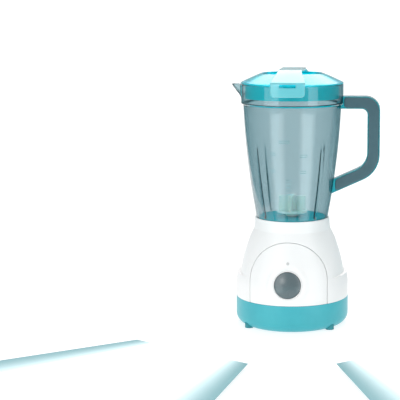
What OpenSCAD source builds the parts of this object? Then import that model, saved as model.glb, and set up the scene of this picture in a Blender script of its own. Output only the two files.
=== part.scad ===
// Toy blender: a white bell-shaped base on a teal tray, a clear jug that lifts off,
// a teal lid with a bridge strap, a two-tone handle and a battery-driven impeller.
// Millimetres. +Z is up, the front with the button faces -Y, the handle points to +X
// and the spout to -X. The origin is on the jug's axis, in the plane the base stands on.

/* [Base housing] */
// Radius of the tray and of the lower housing
base_r = 57; // [55:0.5:59]
// Height of the parting line between tray and housing
tray_h = 28; // [27:0.5:30]
// Rounding of the tray's lower edge
edge_r = 10; // [8:0.5:11]
// Wall of the housing, the tray and the front panel
wall = 2.2; // [1.8:0.1:2.6]
// Height of the step at the housing's sides
ledge_z = 52.5; // [51:0.5:55]
// Depth of that step
ledge_d = 2.8; // [2:0.1:3.4]
// How far the lower housing draws in before the step
shoulder_drop = 1.5; // [1:0.1:2]
// Height at which the bell ends and the neck begins
crease_z = 97.5; // [97:0.5:100]
// Height of the neck
neck_h = 11; // [10:0.5:13]
// Wall of the neck around the jug's foot
neck_wall = 1.4; // [1.2:0.1:2]
// How much wider the neck is at its foot
neck_flare = 0.7; // [0.3:0.1:1.2]
// Thickness of the deck that carries the jug
deck_t = 2.5; // [2:0.1:3]
// How far the underside is set up inside the ring that the base stands on
under_gap = 1.5; // [1:0.1:2]
// Width of the ring that the base stands on
stand_w = 5; // [4:0.5:6]
// Radius of a foot pad
pad_r = 4.2; // [3.5:0.1:4.6]
// Height of a foot pad
pad_h = 5; // [4:0.5:6]

/* [Front panel] */
// Width of the arch-shaped front panel
arch_w = 77.2; // [74:0.2:80]
// Height of the arch's crown
arch_top = 89; // [87:0.5:91]
// Gap of the parting line round the panel
panel_gap = 0.3; // [0.2:0.05:0.5]
// Radius of the flat round boss behind the button
boss_r = 20; // [19.5:0.1:20.5]
// Lean of the boss and of the button's axis
boss_tilt = 9.2; // [8:0.1:10]
// Height of the button's centre
button_z = 48.5; // [48:0.1:49.5]
// Radius of the button
button_r = 13; // [12:0.1:13.4]
// Height of the button's dome
button_crown = 2.8; // [2:0.1:3.5]
// Travel of the button
button_travel = 2.5; // [1.5:0.1:3]
// Radius of the lamp in the panel
led_r = 1.5; // [1.2:0.1:2]
// Height of the lamp over the button's centre, along the panel
led_up = 21.3; // [21:0.1:22]

/* [Jug] */
// Radius of the jug's foot
jug_foot_r = 36; // [35:0.5:37]
// Radius of the jug under its collar
jug_top_r = 49.2; // [48:0.2:50]
// How far the side of the jug bows out
jug_bow = 2.05; // [1:0.05:3]
// Height of the jug from its floor to its rim
jug_h = 133.5; // [130:0.5:138]
// Wall of the jug
jug_wall = 2; // [1.6:0.1:2.4]
// Radius of the collar
collar_r = 51.3; // [50.6:0.1:52]
// Height of the collar
collar_h = 20.5; // [19:0.5:22]
// How far the spout reaches past the collar
spout_out = 9.2; // [8:0.2:11]
// Height of the spout
spout_h = 12; // [10:0.5:13]
// Half the width of the spout where it leaves the collar
spout_half = 12; // [10:0.5:14]
// Depth of the ribs inside the jug
rib_d = 2.4; // [1.5:0.1:3]
// Height of the ribs above the floor
rib_h = 76; // [60:1:85]

/* [Lid] */
// Outer radius of the lid's skirt
skirt_r = 47.4; // [46:0.1:48]
// Depth of the skirt below the rim of the jug
skirt_h = 14; // [12:0.5:16]
// Thickness of the lid
lid_t = 1.8; // [1.4:0.1:2.2]
// Height of the lid's crest over its edge
lid_rise = 9; // [8:0.5:10]
// Radius of the round recess in the lid
recess_r = 30; // [28:0.2:31]
// Depth of the recess
recess_h = 7; // [6:0.5:7.5]
// Width of the strap's tabs
tab_w = 34; // [31:1:38]
// Width of the strap over the recess
strap_w = 24; // [20:1:28]
// Thickness of the strap
strap_t = 2.4; // [2:0.1:3]
// Depth of the tabs below the edge of the lid
tab_h = 11.8; // [10:0.1:13]
// Width of the slot in each tab
slot_w = 16; // [13:1:20]

/* [Handle] */
// How far the handle reaches from the jug's axis
handle_reach = 88; // [85:0.5:92]
// Width of the handle's bar
handle_w = 12.5; // [11:0.5:14]
// Thickness of the handle, front to back
handle_t = 16; // [14:0.5:18]
// Depth of the handle's upper arm below the rim
handle_drop = 18; // [17:0.5:19]
// Height at which the lower arm's line meets the grip's, over the jug's floor
handle_low = 49.8; // [46:0.5:54]
// Slope of the lower arm
handle_slope = 24.5; // [20:0.5:28]
// Rim of the frame that shows round a cover
cover_inset = 1.2; // [0.8:0.1:1.6]

/* [Drive] */
// Module of the gears
gear_m = 0.8; // [0.75:0.05:0.85]
// Teeth on the drive gear
gear_teeth = 36; // [30:1:40]
// Teeth on the motor pinion
pinion_teeth = 12; // [11:1:14]
// Radius of the drive shaft and the impeller shaft
shaft_r = 2; // [1.6:0.1:2.4]
// Radius of the dog couplings
dog_r = 9; // [8:0.5:11]
// Radius of the impeller's disc
impeller_r = 15.2; // [13:0.2:18]
// Height of the impeller's paddles
paddle_h = 16.7; // [14:0.1:20]

/* [Battery box] */
// Diameter of one cell
cell_d = 14.5; // [14:0.1:14.8]
// Length of one cell
cell_l = 50.5; // [49:0.1:51]
// Thickness of the battery door
door_t = 2; // [1.6:0.1:2.4]

/* [Hidden] */

fine = 128;          // facets of a large round
small = 48;          // facets of a small round
fit = 0.05;          // radial running fit of a shaft
play = 0.3;          // gap between bodies that move apart
snug = 0.1;          // gap between pieces that are fixed together
over = 1;            // how far a cut runs past a face

// ---- shapes used more than once ----------------------------------------------------

// A straight line from 0 to 1, bowed out by k
function bow(u, k) = u + k * u * (1 - u);

// The corner points of a line of corners [x, y, radius], with each corner rounded
function unit(v) = v / norm(v);
function rounded_corner(a, p, b, r, n) =
    let (u = unit(a - p), v = unit(b - p), half = acos(u * v) / 2,
        c = p + unit(u + v) * r / sin(half),
        s = p + u * r / tan(half) - c,
        turn = (180 - 2 * half) * sign(u[0] * v[1] - u[1] * v[0]))
    [for (i = [0:n]) let (t = -turn * i / n)
        c + [s[0] * cos(t) - s[1] * sin(t), s[0] * sin(t) + s[1] * cos(t)]];
function rounded_path(c, n = 8) =
    [for (i = [0:len(c) - 1])
        let (a = c[(i + len(c) - 1) % len(c)], p = c[i], b = c[(i + 1) % len(c)])
        each p[2] == 0 ? [[p[0], p[1]]]
            : rounded_corner([a[0], a[1]], [p[0], p[1]], [b[0], b[1]], p[2], n)];

module rod(r, h) cylinder(r = r, h = h, $fn = small);
module drum(r, h) cylinder(r = r, h = h, $fn = fine);

module tube(r_out, r_in, h) {
    difference() {
        rod(r_out, h);
        translate([0, 0, -over]) rod(r_in, h + 2 * over);
    }
}

module plate(w, d, t, r) {
    linear_extrude(t) polygon(rounded_path([for (q = [[-1, -1], [1, -1], [1, 1], [-1, 1]])
        [q[0] * w / 2, q[1] * d / 2, r]]));
}

// A pan-head screw that points up, with the underside of its head at z = 0
module screw(shank_r, length, head_r, head_h) {
    translate([0, 0, -head_h]) difference() {
        rod(head_r, head_h);
        for (a = [0, 90]) rotate([0, 0, a]) translate([-head_r * 0.6, -0.4, -over])
            cube([head_r * 1.2, 0.8, over + head_h * 0.5]);
    }
    rod(shank_r, length);
}

// ---- base housing -------------------------------------------------------------------

neck_top = crease_z + neck_h;
neck_top_r = jug_foot_r + play + neck_wall;
neck_low_r = neck_top_r + neck_flare;
bell_r = base_r - shoulder_drop;
bell_bow = 0.36;
shoulder_z = (tray_h + ledge_z) / 2;

function foot_at(z) = base_r - shoulder_drop * pow(max(0, z - shoulder_z) / (ledge_z - shoulder_z), 2);
function bell_at(z) = neck_low_r
    + (bell_r - neck_low_r) * bow((crease_z - z) / (crease_z - ledge_z), bell_bow);
function neck_at(z) = neck_low_r - neck_flare * (z - crease_z) / neck_h;
function skin_at(z) = z <= ledge_z ? foot_at(z) : z <= crease_z ? bell_at(z) : neck_at(z);

shoulder_steps = 4;
bell_steps = 8;
bell_levels = [for (i = [0:bell_steps]) ledge_z + (crease_z - ledge_z) * i / bell_steps];
shoulder_levels = [for (i = [0:shoulder_steps - 1]) shoulder_z + (ledge_z - shoulder_z) * i / shoulder_steps];
skin_levels = concat([tray_h], shoulder_levels, bell_levels);

// The step at each side is the bell cut by a wider bell whose axis is moved across
scoop_shift = 14;
scoop_run = 36;
function scoop_at(z) = bell_at(z) + ledge_d * ((z - ledge_z) / scoop_run - 1);

deck_top = crease_z - 5;
deck_z = deck_top - deck_t;
seat_r = jug_foot_r + play;
inner_drop = wall + ledge_d;
function inner_at(z) = z <= ledge_z ? foot_at(z) - wall
    : bell_at(z) - wall - ledge_d * (crease_z - z) / (crease_z - ledge_z);
cavity_levels = [for (z = bell_levels) if (z < deck_z - 2) z];
lip_h = 2;

boss_proud = 0.2;                   // how far the lowest point of the boss stands out of the housing
boss_out = base_r + boss_proud - boss_r * sin(boss_tilt);  // from the axis to the boss plane's centre
housing_screw_r = base_r - 13.5;    // distance of the housing screws from the axis
housing_screw_angles = [38, 142, 218, 322];
post_r = 4;
post_z = tray_h - 4;                // where the tray's posts meet the housing's
screw_r = 1.4;
grip_l = 9;                         // how far a housing screw goes into its post
head_z = 12;                        // height of the housing screws' heads
head_r = 3;
head_h = 2;

module skin_block(off = 0, levels = skin_levels) {
    rotate_extrude($fn = fine) polygon(concat([[0, levels[0]]], [for (z = levels) [skin_at(z) - off, z]],
        [[0, levels[len(levels) - 1]]]));
}

module side_scoops() {
    top = ledge_z + scoop_run + 4;
    for (side = [-1, 1]) difference() {
        translate([side > 0 ? 20 : -20 - base_r, -base_r, ledge_z])
            cube([base_r, 2 * base_r, top - ledge_z]);
        translate([-side * scoop_shift, 0, 0]) rotate_extrude($fn = fine) polygon(concat(
            [[0, ledge_z - over], [scoop_at(ledge_z) + scoop_shift, ledge_z - over]],
            [for (z = bell_levels) if (z < top) [scoop_at(z) + scoop_shift, z]],
            [for (z = [top, top + over]) [scoop_at(top) + scoop_shift, z]], [[0, top + over]]));
    }
}

// The arch as seen from the front, grown by g, cut through from the front to y_back
module arch_prism(g, y_back) {
    half = arch_w / 2 + g;
    translate([0, y_back, 0]) rotate([90, 0, 0]) linear_extrude(base_r + 5 + y_back) {
        translate([0, arch_top - arch_w / 2]) circle(r = half, $fn = fine);
        translate([-half, tray_h - 5]) square([2 * half, arch_top - arch_w / 2 - tray_h + 5]);
    }
}

module at_housing_screws() {
    for (a = housing_screw_angles) rotate([0, 0, a]) translate([housing_screw_r, 0, 0]) children();
}

module upper_housing() {
    color("white") difference() {
        union() {
            difference() {
                union() {
                    skin_block();
                    rotate_extrude($fn = fine) polygon([[0, crease_z - 0.01], [neck_low_r, crease_z - 0.01],
                        [neck_low_r, crease_z], [neck_top_r, neck_top], [0, neck_top]]);
                }
                side_scoops();
                // the hollow under the deck
                rotate_extrude($fn = fine) polygon(concat(
                    [[0, tray_h - over], [inner_at(tray_h), tray_h - over], [inner_at(tray_h), tray_h]],
                    [for (z = shoulder_levels) [inner_at(z), z]],
                    [for (z = cavity_levels) [inner_at(z), z]], [[inner_at(deck_z), deck_z], [0, deck_z]]));
                // the seat of the jug
                translate([0, 0, deck_top]) drum(seat_r, neck_h + 5 + over);
                arch_prism(panel_gap / 2, -20);
            }
            // the rebate that the front panel is seated on
            intersection() {
                rotate_extrude($fn = fine) polygon(concat(
                    [for (z = skin_levels) if (z < arch_top + 6) [skin_at(z) - wall - snug, z]],
                    [for (i = [len(skin_levels) - 1:-1:0]) let (z = skin_levels[i]) if (z < arch_top + 6)
                        [skin_at(z) - wall - 3.2, z]]));
                difference() {
                    arch_prism(4, -20);
                    arch_prism(-3, -19);
                }
            }
            // posts for the housing screws
            intersection() {
                skin_block(1);
                at_housing_screws() translate([0, 0, post_z + snug]) rod(post_r, neck_top);
            }
            // hangers for the gearbox
            at_gearbox_screws() translate([0, 0, cover_top])
                rod(hanger_r, deck_z - cover_top + over);
            // keys that stop the jug turning
            for (a = [0, 90, 180, 270]) rotate([0, 0, a])
                translate([seat_r - key_l, -key_w / 2, deck_top - over])
                    cube([key_l + neck_wall / 2, key_w, key_h + over]);
        }
        at_housing_screws() translate([0, 0, post_z - over]) rod(screw_r + fit, grip_l + 2 + over);
        at_gearbox_screws() translate([0, 0, cover_top - over])
            rod(screw_r + fit, deck_z - cover_top + over);
        translate([0, 0, deck_z - over]) rod(bush_r, deck_t + 2 * over);
    }
}

// ---- front panel, button and circuit board ---------------------------------------------

// Local frame of the button: z points out of the boss plane
module at_boss() {
    translate([0, -boss_out, button_z]) rotate([90 - boss_tilt, 0, 0]) children();
}

bezel_w = 1.1;
bezel_r = button_r + play + bezel_w;
bezel_h = 0.7;
boss_t = 2.4;
board_z = -14;                       // back of the circuit board under the boss plane
board_t = 1.6;
board_w = 42;
board_up = led_up + 3;
board_down = 12;
board_post = [17.6, -6];
board_post_r = 2.4;
board_screw_r = 0.9;
board_screw_l = 6;
flange_r = button_r + 1;
stem_r = 3;
switch_h = 5;
switch_w = 9;
stem_end = board_z + board_t + switch_h - 1;

module at_board_posts(z) {
    for (side = [-1, 1]) at_boss() translate([side * board_post[0], board_post[1], z]) children();
}

module front_panel() {
    color("white") difference() {
        union() {
            difference() {
                intersection() {
                    skin_block();
                    arch_prism(-panel_gap / 2, -20);
                }
                skin_block(wall, concat([tray_h - over], skin_levels));
                at_boss() drum(boss_r, 20);
            }
            intersection() {
                at_boss() translate([0, 0, -boss_t]) drum(boss_r, boss_t);
                translate([-base_r, -2 * base_r, tray_h]) cube([2 * base_r, 2 * base_r, neck_top]);
            }
            at_board_posts(board_z + board_t) rod(board_post_r, -board_z - board_t - 1);
        }
        at_boss() {
            translate([0, 0, -boss_t - over]) drum(bezel_r + snug, 10);
            translate([0, led_up, board_z]) rod(led_r + snug, 20);
        }
        at_board_posts(board_z) rod(board_screw_r + fit, board_screw_l + 3);
    }
}

module button_bezel() {
    color("whitesmoke") at_boss() rotate_extrude($fn = fine) polygon([
        [button_r + play, -boss_t], [bezel_r, -boss_t], [bezel_r, bezel_h - 0.4], [bezel_r - 0.4, bezel_h],
        [button_r + play + 0.3, bezel_h], [button_r + play, bezel_h - 0.3]]);
}

module button() {
    dome_r = (button_r * button_r + button_crown * button_crown) / (2 * button_crown);
    color("dimgray") at_boss() difference() {
        union() {
            intersection() {
                translate([0, 0, 1.2 + button_crown - dome_r]) sphere(r = dome_r, $fn = fine);
                translate([0, 0, -boss_t - 2]) drum(button_r, 10);
            }
            translate([0, 0, -boss_t - 2]) drum(flange_r + bezel_w, 2 - play);
        }
        translate([0, 0, -boss_t - 2 - over]) drum(button_r - 1.6, boss_t + 2 + over);
    }
    color("dimgray") at_boss() translate([0, 0, stem_end]) rod(stem_r, -stem_end + 0.5);
}

spring_r = 5;
module button_spring() {
    color("silver") at_boss() translate([0, 0, board_z + board_t + switch_h + snug])
        tube(spring_r + 0.8, spring_r, -board_z - board_t - switch_h - 2 * snug);
}

module circuit_board() {
    color("seagreen") at_boss() difference() {
        translate([-board_w / 2, -board_down, board_z]) cube([board_w, board_down + board_up, board_t]);
        for (side = [-1, 1]) translate([side * board_post[0], board_post[1], board_z - over])
            rod(board_screw_r + snug, board_t + 2 * over);
    }
}

module board_screws() {
    color("silver") at_board_posts(board_z)
        screw(board_screw_r, board_screw_l, 2.2 * board_screw_r, 1.5 * board_screw_r);
}

module push_switch() {
    color("black") at_boss() difference() {
        translate([-switch_w / 2, -switch_w / 2, board_z + board_t]) cube([switch_w, switch_w, switch_h]);
        translate([0, 0, board_z + board_t + switch_h - button_travel - 1 - play])
            rod(stem_r + fit, 10);
    }
}

module status_lamp() {
    color("gainsboro") at_boss() translate([0, led_up, 0]) {
        translate([0, 0, board_z + board_t + 3]) rod(led_r, -board_z - board_t - 3 + 0.2);
        translate([0, 0, board_z + board_t + 2]) rod(led_r + 0.4, 1);
        for (side = [-1, 1]) translate([side * 0.8, 0, board_z + board_t]) rod(0.3, 2);
    }
}

wire_r = 0.6;
// A point given in the button's frame, in the frame of the whole
function boss_point(x, up, out) = [x, -boss_out + up * sin(boss_tilt) - out * cos(boss_tilt),
    button_z + up * cos(boss_tilt) + out * sin(boss_tilt)];

module wire(points) {
    for (i = [0:len(points) - 2]) let (a = points[i], d = points[i + 1] - a) translate(a)
        rotate([0, acos(d[2] / norm(d)), atan2(d[1], d[0])]) rod(wire_r, norm(d));
    for (i = [1:len(points) - 2]) translate(points[i]) sphere(r = wire_r + 0.2, $fn = small);
}

// Two leads from the battery box to the board and two from the board to the motor
module internal_wires() {
    solder_z = board_z - wire_r - snug;
    color("firebrick") for (side = [-1, 1]) {
        wire([[side * (box_l / 2 + snug), side * (cell_d + cell_gap), cell_z],
            [side * (box_l / 2 + 4.5), side * (cell_d + cell_gap), cell_z],
            [side * (box_l / 2 + 4.5), side * (cell_d + cell_gap), tray_h + 2],
            [side * (box_l / 2 - 7), -20, tray_h + 6],
            boss_point(side * 14, 2, solder_z)]);
        wire([[side * 6, motor_y, motor_top - motor_l - 5 - wire_r - snug],
            [side * 7, motor_y - 8, tray_h + 7], [side * 8, -20, tray_h + 8],
            boss_point(side * 9, 6, solder_z)]);
    }
}

// ---- tray and battery box ------------------------------------------------------------------

stand_out = base_r - edge_r;
stand_in = stand_out - stand_w;
floor_t = wall;
floor_top = under_gap + floor_t;
cells = 3;
cell_gap = 0.4;
contact_l = 3.5;
box_l = cell_l + 2 * contact_l;
box_d = cells * (cell_d + cell_gap) + cell_gap;
box_wall = 1.6;
door_rest = 2.6;                      // how far the door laps the opening on each side
door_l = box_l + 2 * door_rest;
door_d = box_d + 2 * door_rest;
door_top = under_gap + door_t;
rest_top = door_top + play + 1.6;
cell_z = door_top + play + cell_d / 2;
box_top = cell_z + cell_d / 2 + cell_gap;
ear_w = 10;
ear_y = box_d / 2 + box_wall + ear_w / 2 + 0.5;    // where the door's screw is
ear_boss_h = 9;
door_screw_l = 7;
door_head_r = 2.6;
door_head_h = 0.9;
pad_in = 16.5;                            // how far the pads are set in from the sides
pad_x = base_r - pad_in;
pad_y = 2 * pad_in;

module ear_outline(g) {
    translate([-ear_w / 2 - g, 0]) square([ear_w + 2 * g, ear_y]);
    translate([0, ear_y]) circle(r = ear_w / 2 + g, $fn = small);
}

module door_outline(g) {
    polygon(rounded_path([[-door_l / 2 - g, -door_d / 2 - g, 4], [door_l / 2 + g, -door_d / 2 - g, 4],
        [door_l / 2 + g, door_d / 2 + g, 4], [-door_l / 2 - g, door_d / 2 + g, 4]]));
    ear_outline(g);
}

module at_pads() {
    for (sx = [-1, 1], sy = [-1, 1]) translate([sx * pad_x, sy * pad_y, 0]) children();
}

function edge_arc(r, a0, a1, n) = [for (i = [0:n]) let (a = a0 + (a1 - a0) * i / n)
    [stand_out + r * sin(a), edge_r - r * cos(a)]];

module lower_tray() {
    in_r = edge_r - wall;
    a_floor = acos((edge_r - floor_top) / in_r);
    color("mediumturquoise") difference() {
        union() {
            rotate_extrude($fn = fine) polygon(concat(
                [[0, under_gap], [stand_in, under_gap], [stand_in, 0]], edge_arc(edge_r, 0, 90, 8),
                [[base_r, tray_h], [base_r - wall - snug, tray_h],
                [base_r - wall - snug, tray_h + lip_h], [base_r - 2 * wall, tray_h + lip_h],
                [base_r - 2 * wall, tray_h - 2], [base_r - wall, tray_h - 3.5]],
                edge_arc(in_r, 90, a_floor, 6), [[0, floor_top]]));
            // battery box, open below
            translate([-box_l / 2 - box_wall, -box_d / 2 - box_wall, under_gap])
                cube([box_l + 2 * box_wall, box_d + 2 * box_wall, box_top + box_wall - under_gap]);
            // seat of the battery door
            translate([0, 0, under_gap]) linear_extrude(rest_top - under_gap) door_outline(box_wall);
            translate([0, ear_y, under_gap]) rod(3.6, ear_boss_h + door_t);
            at_housing_screws() translate([0, 0, under_gap]) rod(post_r + 1, post_z - under_gap);
            at_pads() translate([0, 0, under_gap + 1]) rod(pad_r + 1.6, pad_h);
        }
        // the lip stops at the front panel
        translate([-arch_w / 2 - 5, -base_r, tray_h]) cube([arch_w + 10, base_r, lip_h + over]);
        // holes for the leads of the battery box
        for (side = [-1, 1]) translate([0, side * (cell_d + cell_gap), cell_z]) rotate([0, side * 90, 0])
            rod(wire_r + 0.3, box_l / 2 + box_wall + over);
        // the tray's round outside trims the pads' sockets
        difference() {
            translate([0, 0, -over]) drum(base_r + 10, edge_r + over);
            rotate_extrude($fn = fine) polygon(concat([[0, -2 * over], [stand_out, -2 * over]],
                edge_arc(edge_r, 0, 90, 8), [[base_r, edge_r + over], [0, edge_r + over]]));
        }
        translate([-box_l / 2, -box_d / 2, -over]) cube([box_l, box_d, box_top + over]);
        translate([0, 0, -over]) linear_extrude(door_top + play + over) door_outline(play);
        translate([0, ear_y, -over]) rod(screw_r + fit, ear_boss_h + door_t);
        at_housing_screws() {
            translate([0, 0, -over]) rod(head_r + 0.4, head_z + over);
            translate([0, 0, -over]) rod(screw_r + 0.3, tray_h);
        }
        at_pads() translate([0, 0, -over]) rod(pad_r + snug / 2, pad_h + over);
    }
}

module foot_pads() {
    color("darkcyan") at_pads() rod(pad_r, pad_h);
}

module housing_screws() {
    color("silver") at_housing_screws() translate([0, 0, head_z])
        screw(screw_r, post_z - head_z + grip_l, head_r, head_h);
}

module battery_door() {
    color("mediumturquoise") difference() {
        translate([0, 0, under_gap]) linear_extrude(door_t) door_outline(0);
        translate([0, ear_y, 0]) rod(screw_r + 0.3, 10);
        translate([0, ear_y, 0]) rod(door_head_r + 0.2, under_gap + door_t / 2);
    }
}

module door_screw() {
    color("silver") translate([0, ear_y, under_gap + door_t / 2])
        screw(screw_r, door_screw_l, door_head_r, door_head_h);
}

module at_cells() {
    for (i = [0:cells - 1]) translate([0, (i - (cells - 1) / 2) * (cell_d + cell_gap), cell_z])
        rotate([0, i % 2 == 0 ? 90 : -90, 0]) children();
}

nub_h = 1.2;
nub_r = 2.6;
module battery_cells() {
    color("gray") at_cells() {
        translate([0, 0, -cell_l / 2]) rod(cell_d / 2, cell_l - nub_h);
        translate([0, 0, cell_l / 2 - nub_h]) rod(nub_r, nub_h);
    }
}

contact_r = 4.5;
contact_t = 0.4;
spring_in = 0.8;                          // half the thickness of the contact springs
module battery_contacts() {
    t = contact_t;
    color("silver") at_cells() {
        translate([0, 0, box_l / 2 - t]) rod(contact_r, t);
        translate([0, 0, cell_l / 2]) rod(nub_r - 1, box_l / 2 - t - cell_l / 2);
        translate([0, 0, -box_l / 2]) rod(contact_r, t);
        translate([0, 0, -box_l / 2 + t]) rotate_extrude($fn = small)
            polygon([[contact_r - 0.3 - spring_in, 0], [contact_r - 0.3, 0], [nub_r - 0.2, contact_l - t],
                [nub_r - 0.2 - spring_in, contact_l - t]]);
    }
}

// ---- motor and gearbox ------------------------------------------------------------------------

motor_flat = 15.1;
motor_round = 20.1;
motor_l = 25;
gear_t = 6;
plate_t = 2.5;
cover_t = 2;
hanger_r = 3.2;
cover_top = deck_z - 5;
cover_z = cover_top - cover_t;
gear_z = cover_z - 2 - gear_t;
plate_z = gear_z - 3 - plate_t;
motor_top = plate_z - snug;
gear_pitch_r = gear_m * gear_teeth / 2;
pinion_pitch_r = gear_m * pinion_teeth / 2;
motor_y = gear_pitch_r + pinion_pitch_r;
gearbox_half = gear_pitch_r + gear_m + 6.5;
gearbox_front = -gear_pitch_r - 5;
gearbox_back = motor_y + 11;
bush_r = shaft_r + 2.4;
gearbox_screw_x = gearbox_half - 3.4;

function gearbox_screw_ys() = [gearbox_front + 3.4, gearbox_back - 3.4];
gearbox_screw_head = [2.6, 1.6];
module at_gearbox_screws() {
    for (sx = [-1, 1], y = gearbox_screw_ys()) translate([sx * gearbox_screw_x, y, 0]) children();
}

// Straight-sided teeth on a root circle. turned moves the first tooth by a share of a pitch
module gear_outline(teeth, turned) {
    pitch_r = gear_m * teeth / 2;
    tip_r = pitch_r + 0.9 * gear_m;
    root_r = pitch_r - 1.2 * gear_m;
    root_half = 0.52 * gear_m / root_r * 180 / PI * 1.45;
    tip_half = 0.24 * gear_m / tip_r * 180 / PI;
    polygon([for (i = [0:teeth - 1]) let (a = (i + turned) * 360 / teeth)
        for (q = [[root_r, -root_half], [tip_r, -tip_half], [tip_r, tip_half], [root_r, root_half]])
            q[0] * [cos(a + q[1]), sin(a + q[1])]]);
}

module motor() {
    color("silver") translate([0, motor_y, motor_top - motor_l]) {
        intersection() {
            rod(motor_round / 2, motor_l);
            translate([-motor_round, -motor_flat / 2, 0]) cube([2 * motor_round, motor_flat, motor_l]);
        }
        translate([0, 0, motor_l]) tube(3, 1 + fit, 1.6);
        for (side = [-1, 1]) translate([side * 6, 0, -2.5]) cube([1.6, 0.5, 5], center = true);
    }
}

module motor_pinion() {
    color("goldenrod") translate([0, motor_y, 0]) {
        difference() {
            translate([0, 0, gear_z - 1]) linear_extrude(gear_t + 1.5)
                rotate([0, 0, -90]) gear_outline(pinion_teeth, 0.5);
            translate([0, 0, gear_z - 2]) rod(1, gear_t);
        }
        translate([0, 0, motor_top + 0.2]) rod(1, gear_z + gear_t - 2 - motor_top - 0.2);
    }
}

module gearbox_sheet(t) {
    translate([0, (gearbox_front + gearbox_back) / 2, 0])
        plate(2 * gearbox_half, gearbox_back - gearbox_front, t, hanger_r);
}

module gearbox_plate() {
    color("lightgray") difference() {
        union() {
            translate([0, 0, plate_z]) gearbox_sheet(plate_t);
            at_gearbox_screws() translate([0, 0, plate_z]) rod(hanger_r, cover_z - plate_z);
            translate([0, 0, plate_z - 2]) rod(bush_r, 3);
        }
        at_gearbox_screws() translate([0, 0, plate_z - over])
            rod(screw_r + 0.2, cover_z - plate_z + 2 * over);
        translate([0, 0, plate_z - 2 + 1]) rod(shaft_r + fit, 10);
        translate([0, motor_y, plate_z - over]) rod(3 + snug, 10);
    }
}

module gearbox_cover() {
    color("lightgray") difference() {
        translate([0, 0, cover_z]) gearbox_sheet(cover_t);
        at_gearbox_screws() translate([0, 0, cover_z - over]) rod(screw_r + 0.2, 10);
        translate([0, 0, cover_z - over]) rod(shaft_r + 0.5, 10);
    }
}

module gearbox_screws() {
    color("silver") at_gearbox_screws() translate([0, 0, plate_z])
        screw(screw_r, deck_z - plate_z - 1, gearbox_screw_head[0], gearbox_screw_head[1]);
}

module drive_gear() {
    color("ivory") difference() {
        union() {
            translate([0, 0, gear_z]) linear_extrude(gear_t) rotate([0, 0, 90]) gear_outline(gear_teeth, 0);
            translate([0, 0, gear_z - 2]) rod(5, gear_t + 3);
        }
        translate([0, 0, gear_z - 3]) rod(shaft_r, 20);
    }
}

dog_disc_t = 3;
dog_lug_h = 3.5;
dog_z = deck_top + 1.6;                   // underside of the drive coupling
dog_half = 26;
dog_in_r = 4;
dog_out_r = dog_r - 0.5;
dog_root = 0.8;                           // how deep a lug is rooted in its disc
dog_top = dog_z + dog_disc_t + play + dog_lug_h;

module dog_lugs(z, start) {
    for (i = [0:2]) rotate([0, 0, start + 120 * i - dog_half]) translate([0, 0, z])
        rotate_extrude(angle = 2 * dog_half, $fn = fine)
            translate([dog_in_r, 0]) square([dog_out_r - dog_in_r, dog_lug_h + dog_root]);
}

module drive_shaft() {
    low = plate_z - 0.8;
    color("silver") translate([0, 0, low]) rod(shaft_r, dog_z + dog_disc_t - low);
}

module shaft_bush() {
    color("darkgoldenrod") translate([0, 0, deck_z]) {
        tube(bush_r, shaft_r + fit, deck_t + 1);
    }
}

module drive_coupling() {
    color("teal") {
        translate([0, 0, dog_z]) tube(dog_r, shaft_r, dog_disc_t);
        dog_lugs(dog_z + dog_disc_t - dog_root, 90);
    }
}

// ---- jug ------------------------------------------------------------------------------------

floor_z = neck_top + 0.5;
rim_z = floor_z + jug_h;
wall_z = floor_z - 1.8;                  // lower end of the jug's wall
collar_z = rim_z - collar_h;
base_bottom = deck_top + play;
base_floor_t = 2.2;
key_l = 6;
key_w = 4;
key_h = 5;
jug_steps = 12;
jug_levels = [for (i = [0:jug_steps]) wall_z + (collar_z - wall_z) * i / jug_steps];
function jug_at(z) = let (u = (z - wall_z) / (collar_z - wall_z))
    jug_foot_r + (jug_top_r - jug_foot_r) * u + 4 * jug_bow * u * (1 - u);
collar_in = collar_r - jug_wall;
rib_top = floor_z + rib_h;
rib_levels = concat([for (z = jug_levels) if (z > floor_z + 1 && z < rib_top) z], [rib_top]);
step_h = 1.6;

// The spout's V, seen from above, with its tip at reach and half as wide as half at the collar
module spout_v(reach, half) {
    polygon([[-collar_r + 6, -half * 1.25], [-reach + 2.2, -2], [-reach + 0.4, -1], [-reach, 0],
        [-reach + 0.4, 1], [-reach + 2.2, 2], [-collar_r + 6, half * 1.25]]);
}

// The spout's block: the V, cut off below by its slanting underside
module spout_block(reach, half, low, top) {
    slope = spout_h / (spout_out + 0.6);
    intersection() {
        translate([0, 0, collar_z]) linear_extrude(top - collar_z) spout_v(reach, half);
        rotate([90, 0, 0]) translate([0, 0, -collar_r]) linear_extrude(2 * collar_r)
            polygon([[-reach, top], [-reach, rim_z - 1 + low], [-collar_r + 1, rim_z - spout_h + low],
                [-collar_r + 10, rim_z - spout_h - 9 * slope + low], [-collar_r + 10, top]]);
    }
}

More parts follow.
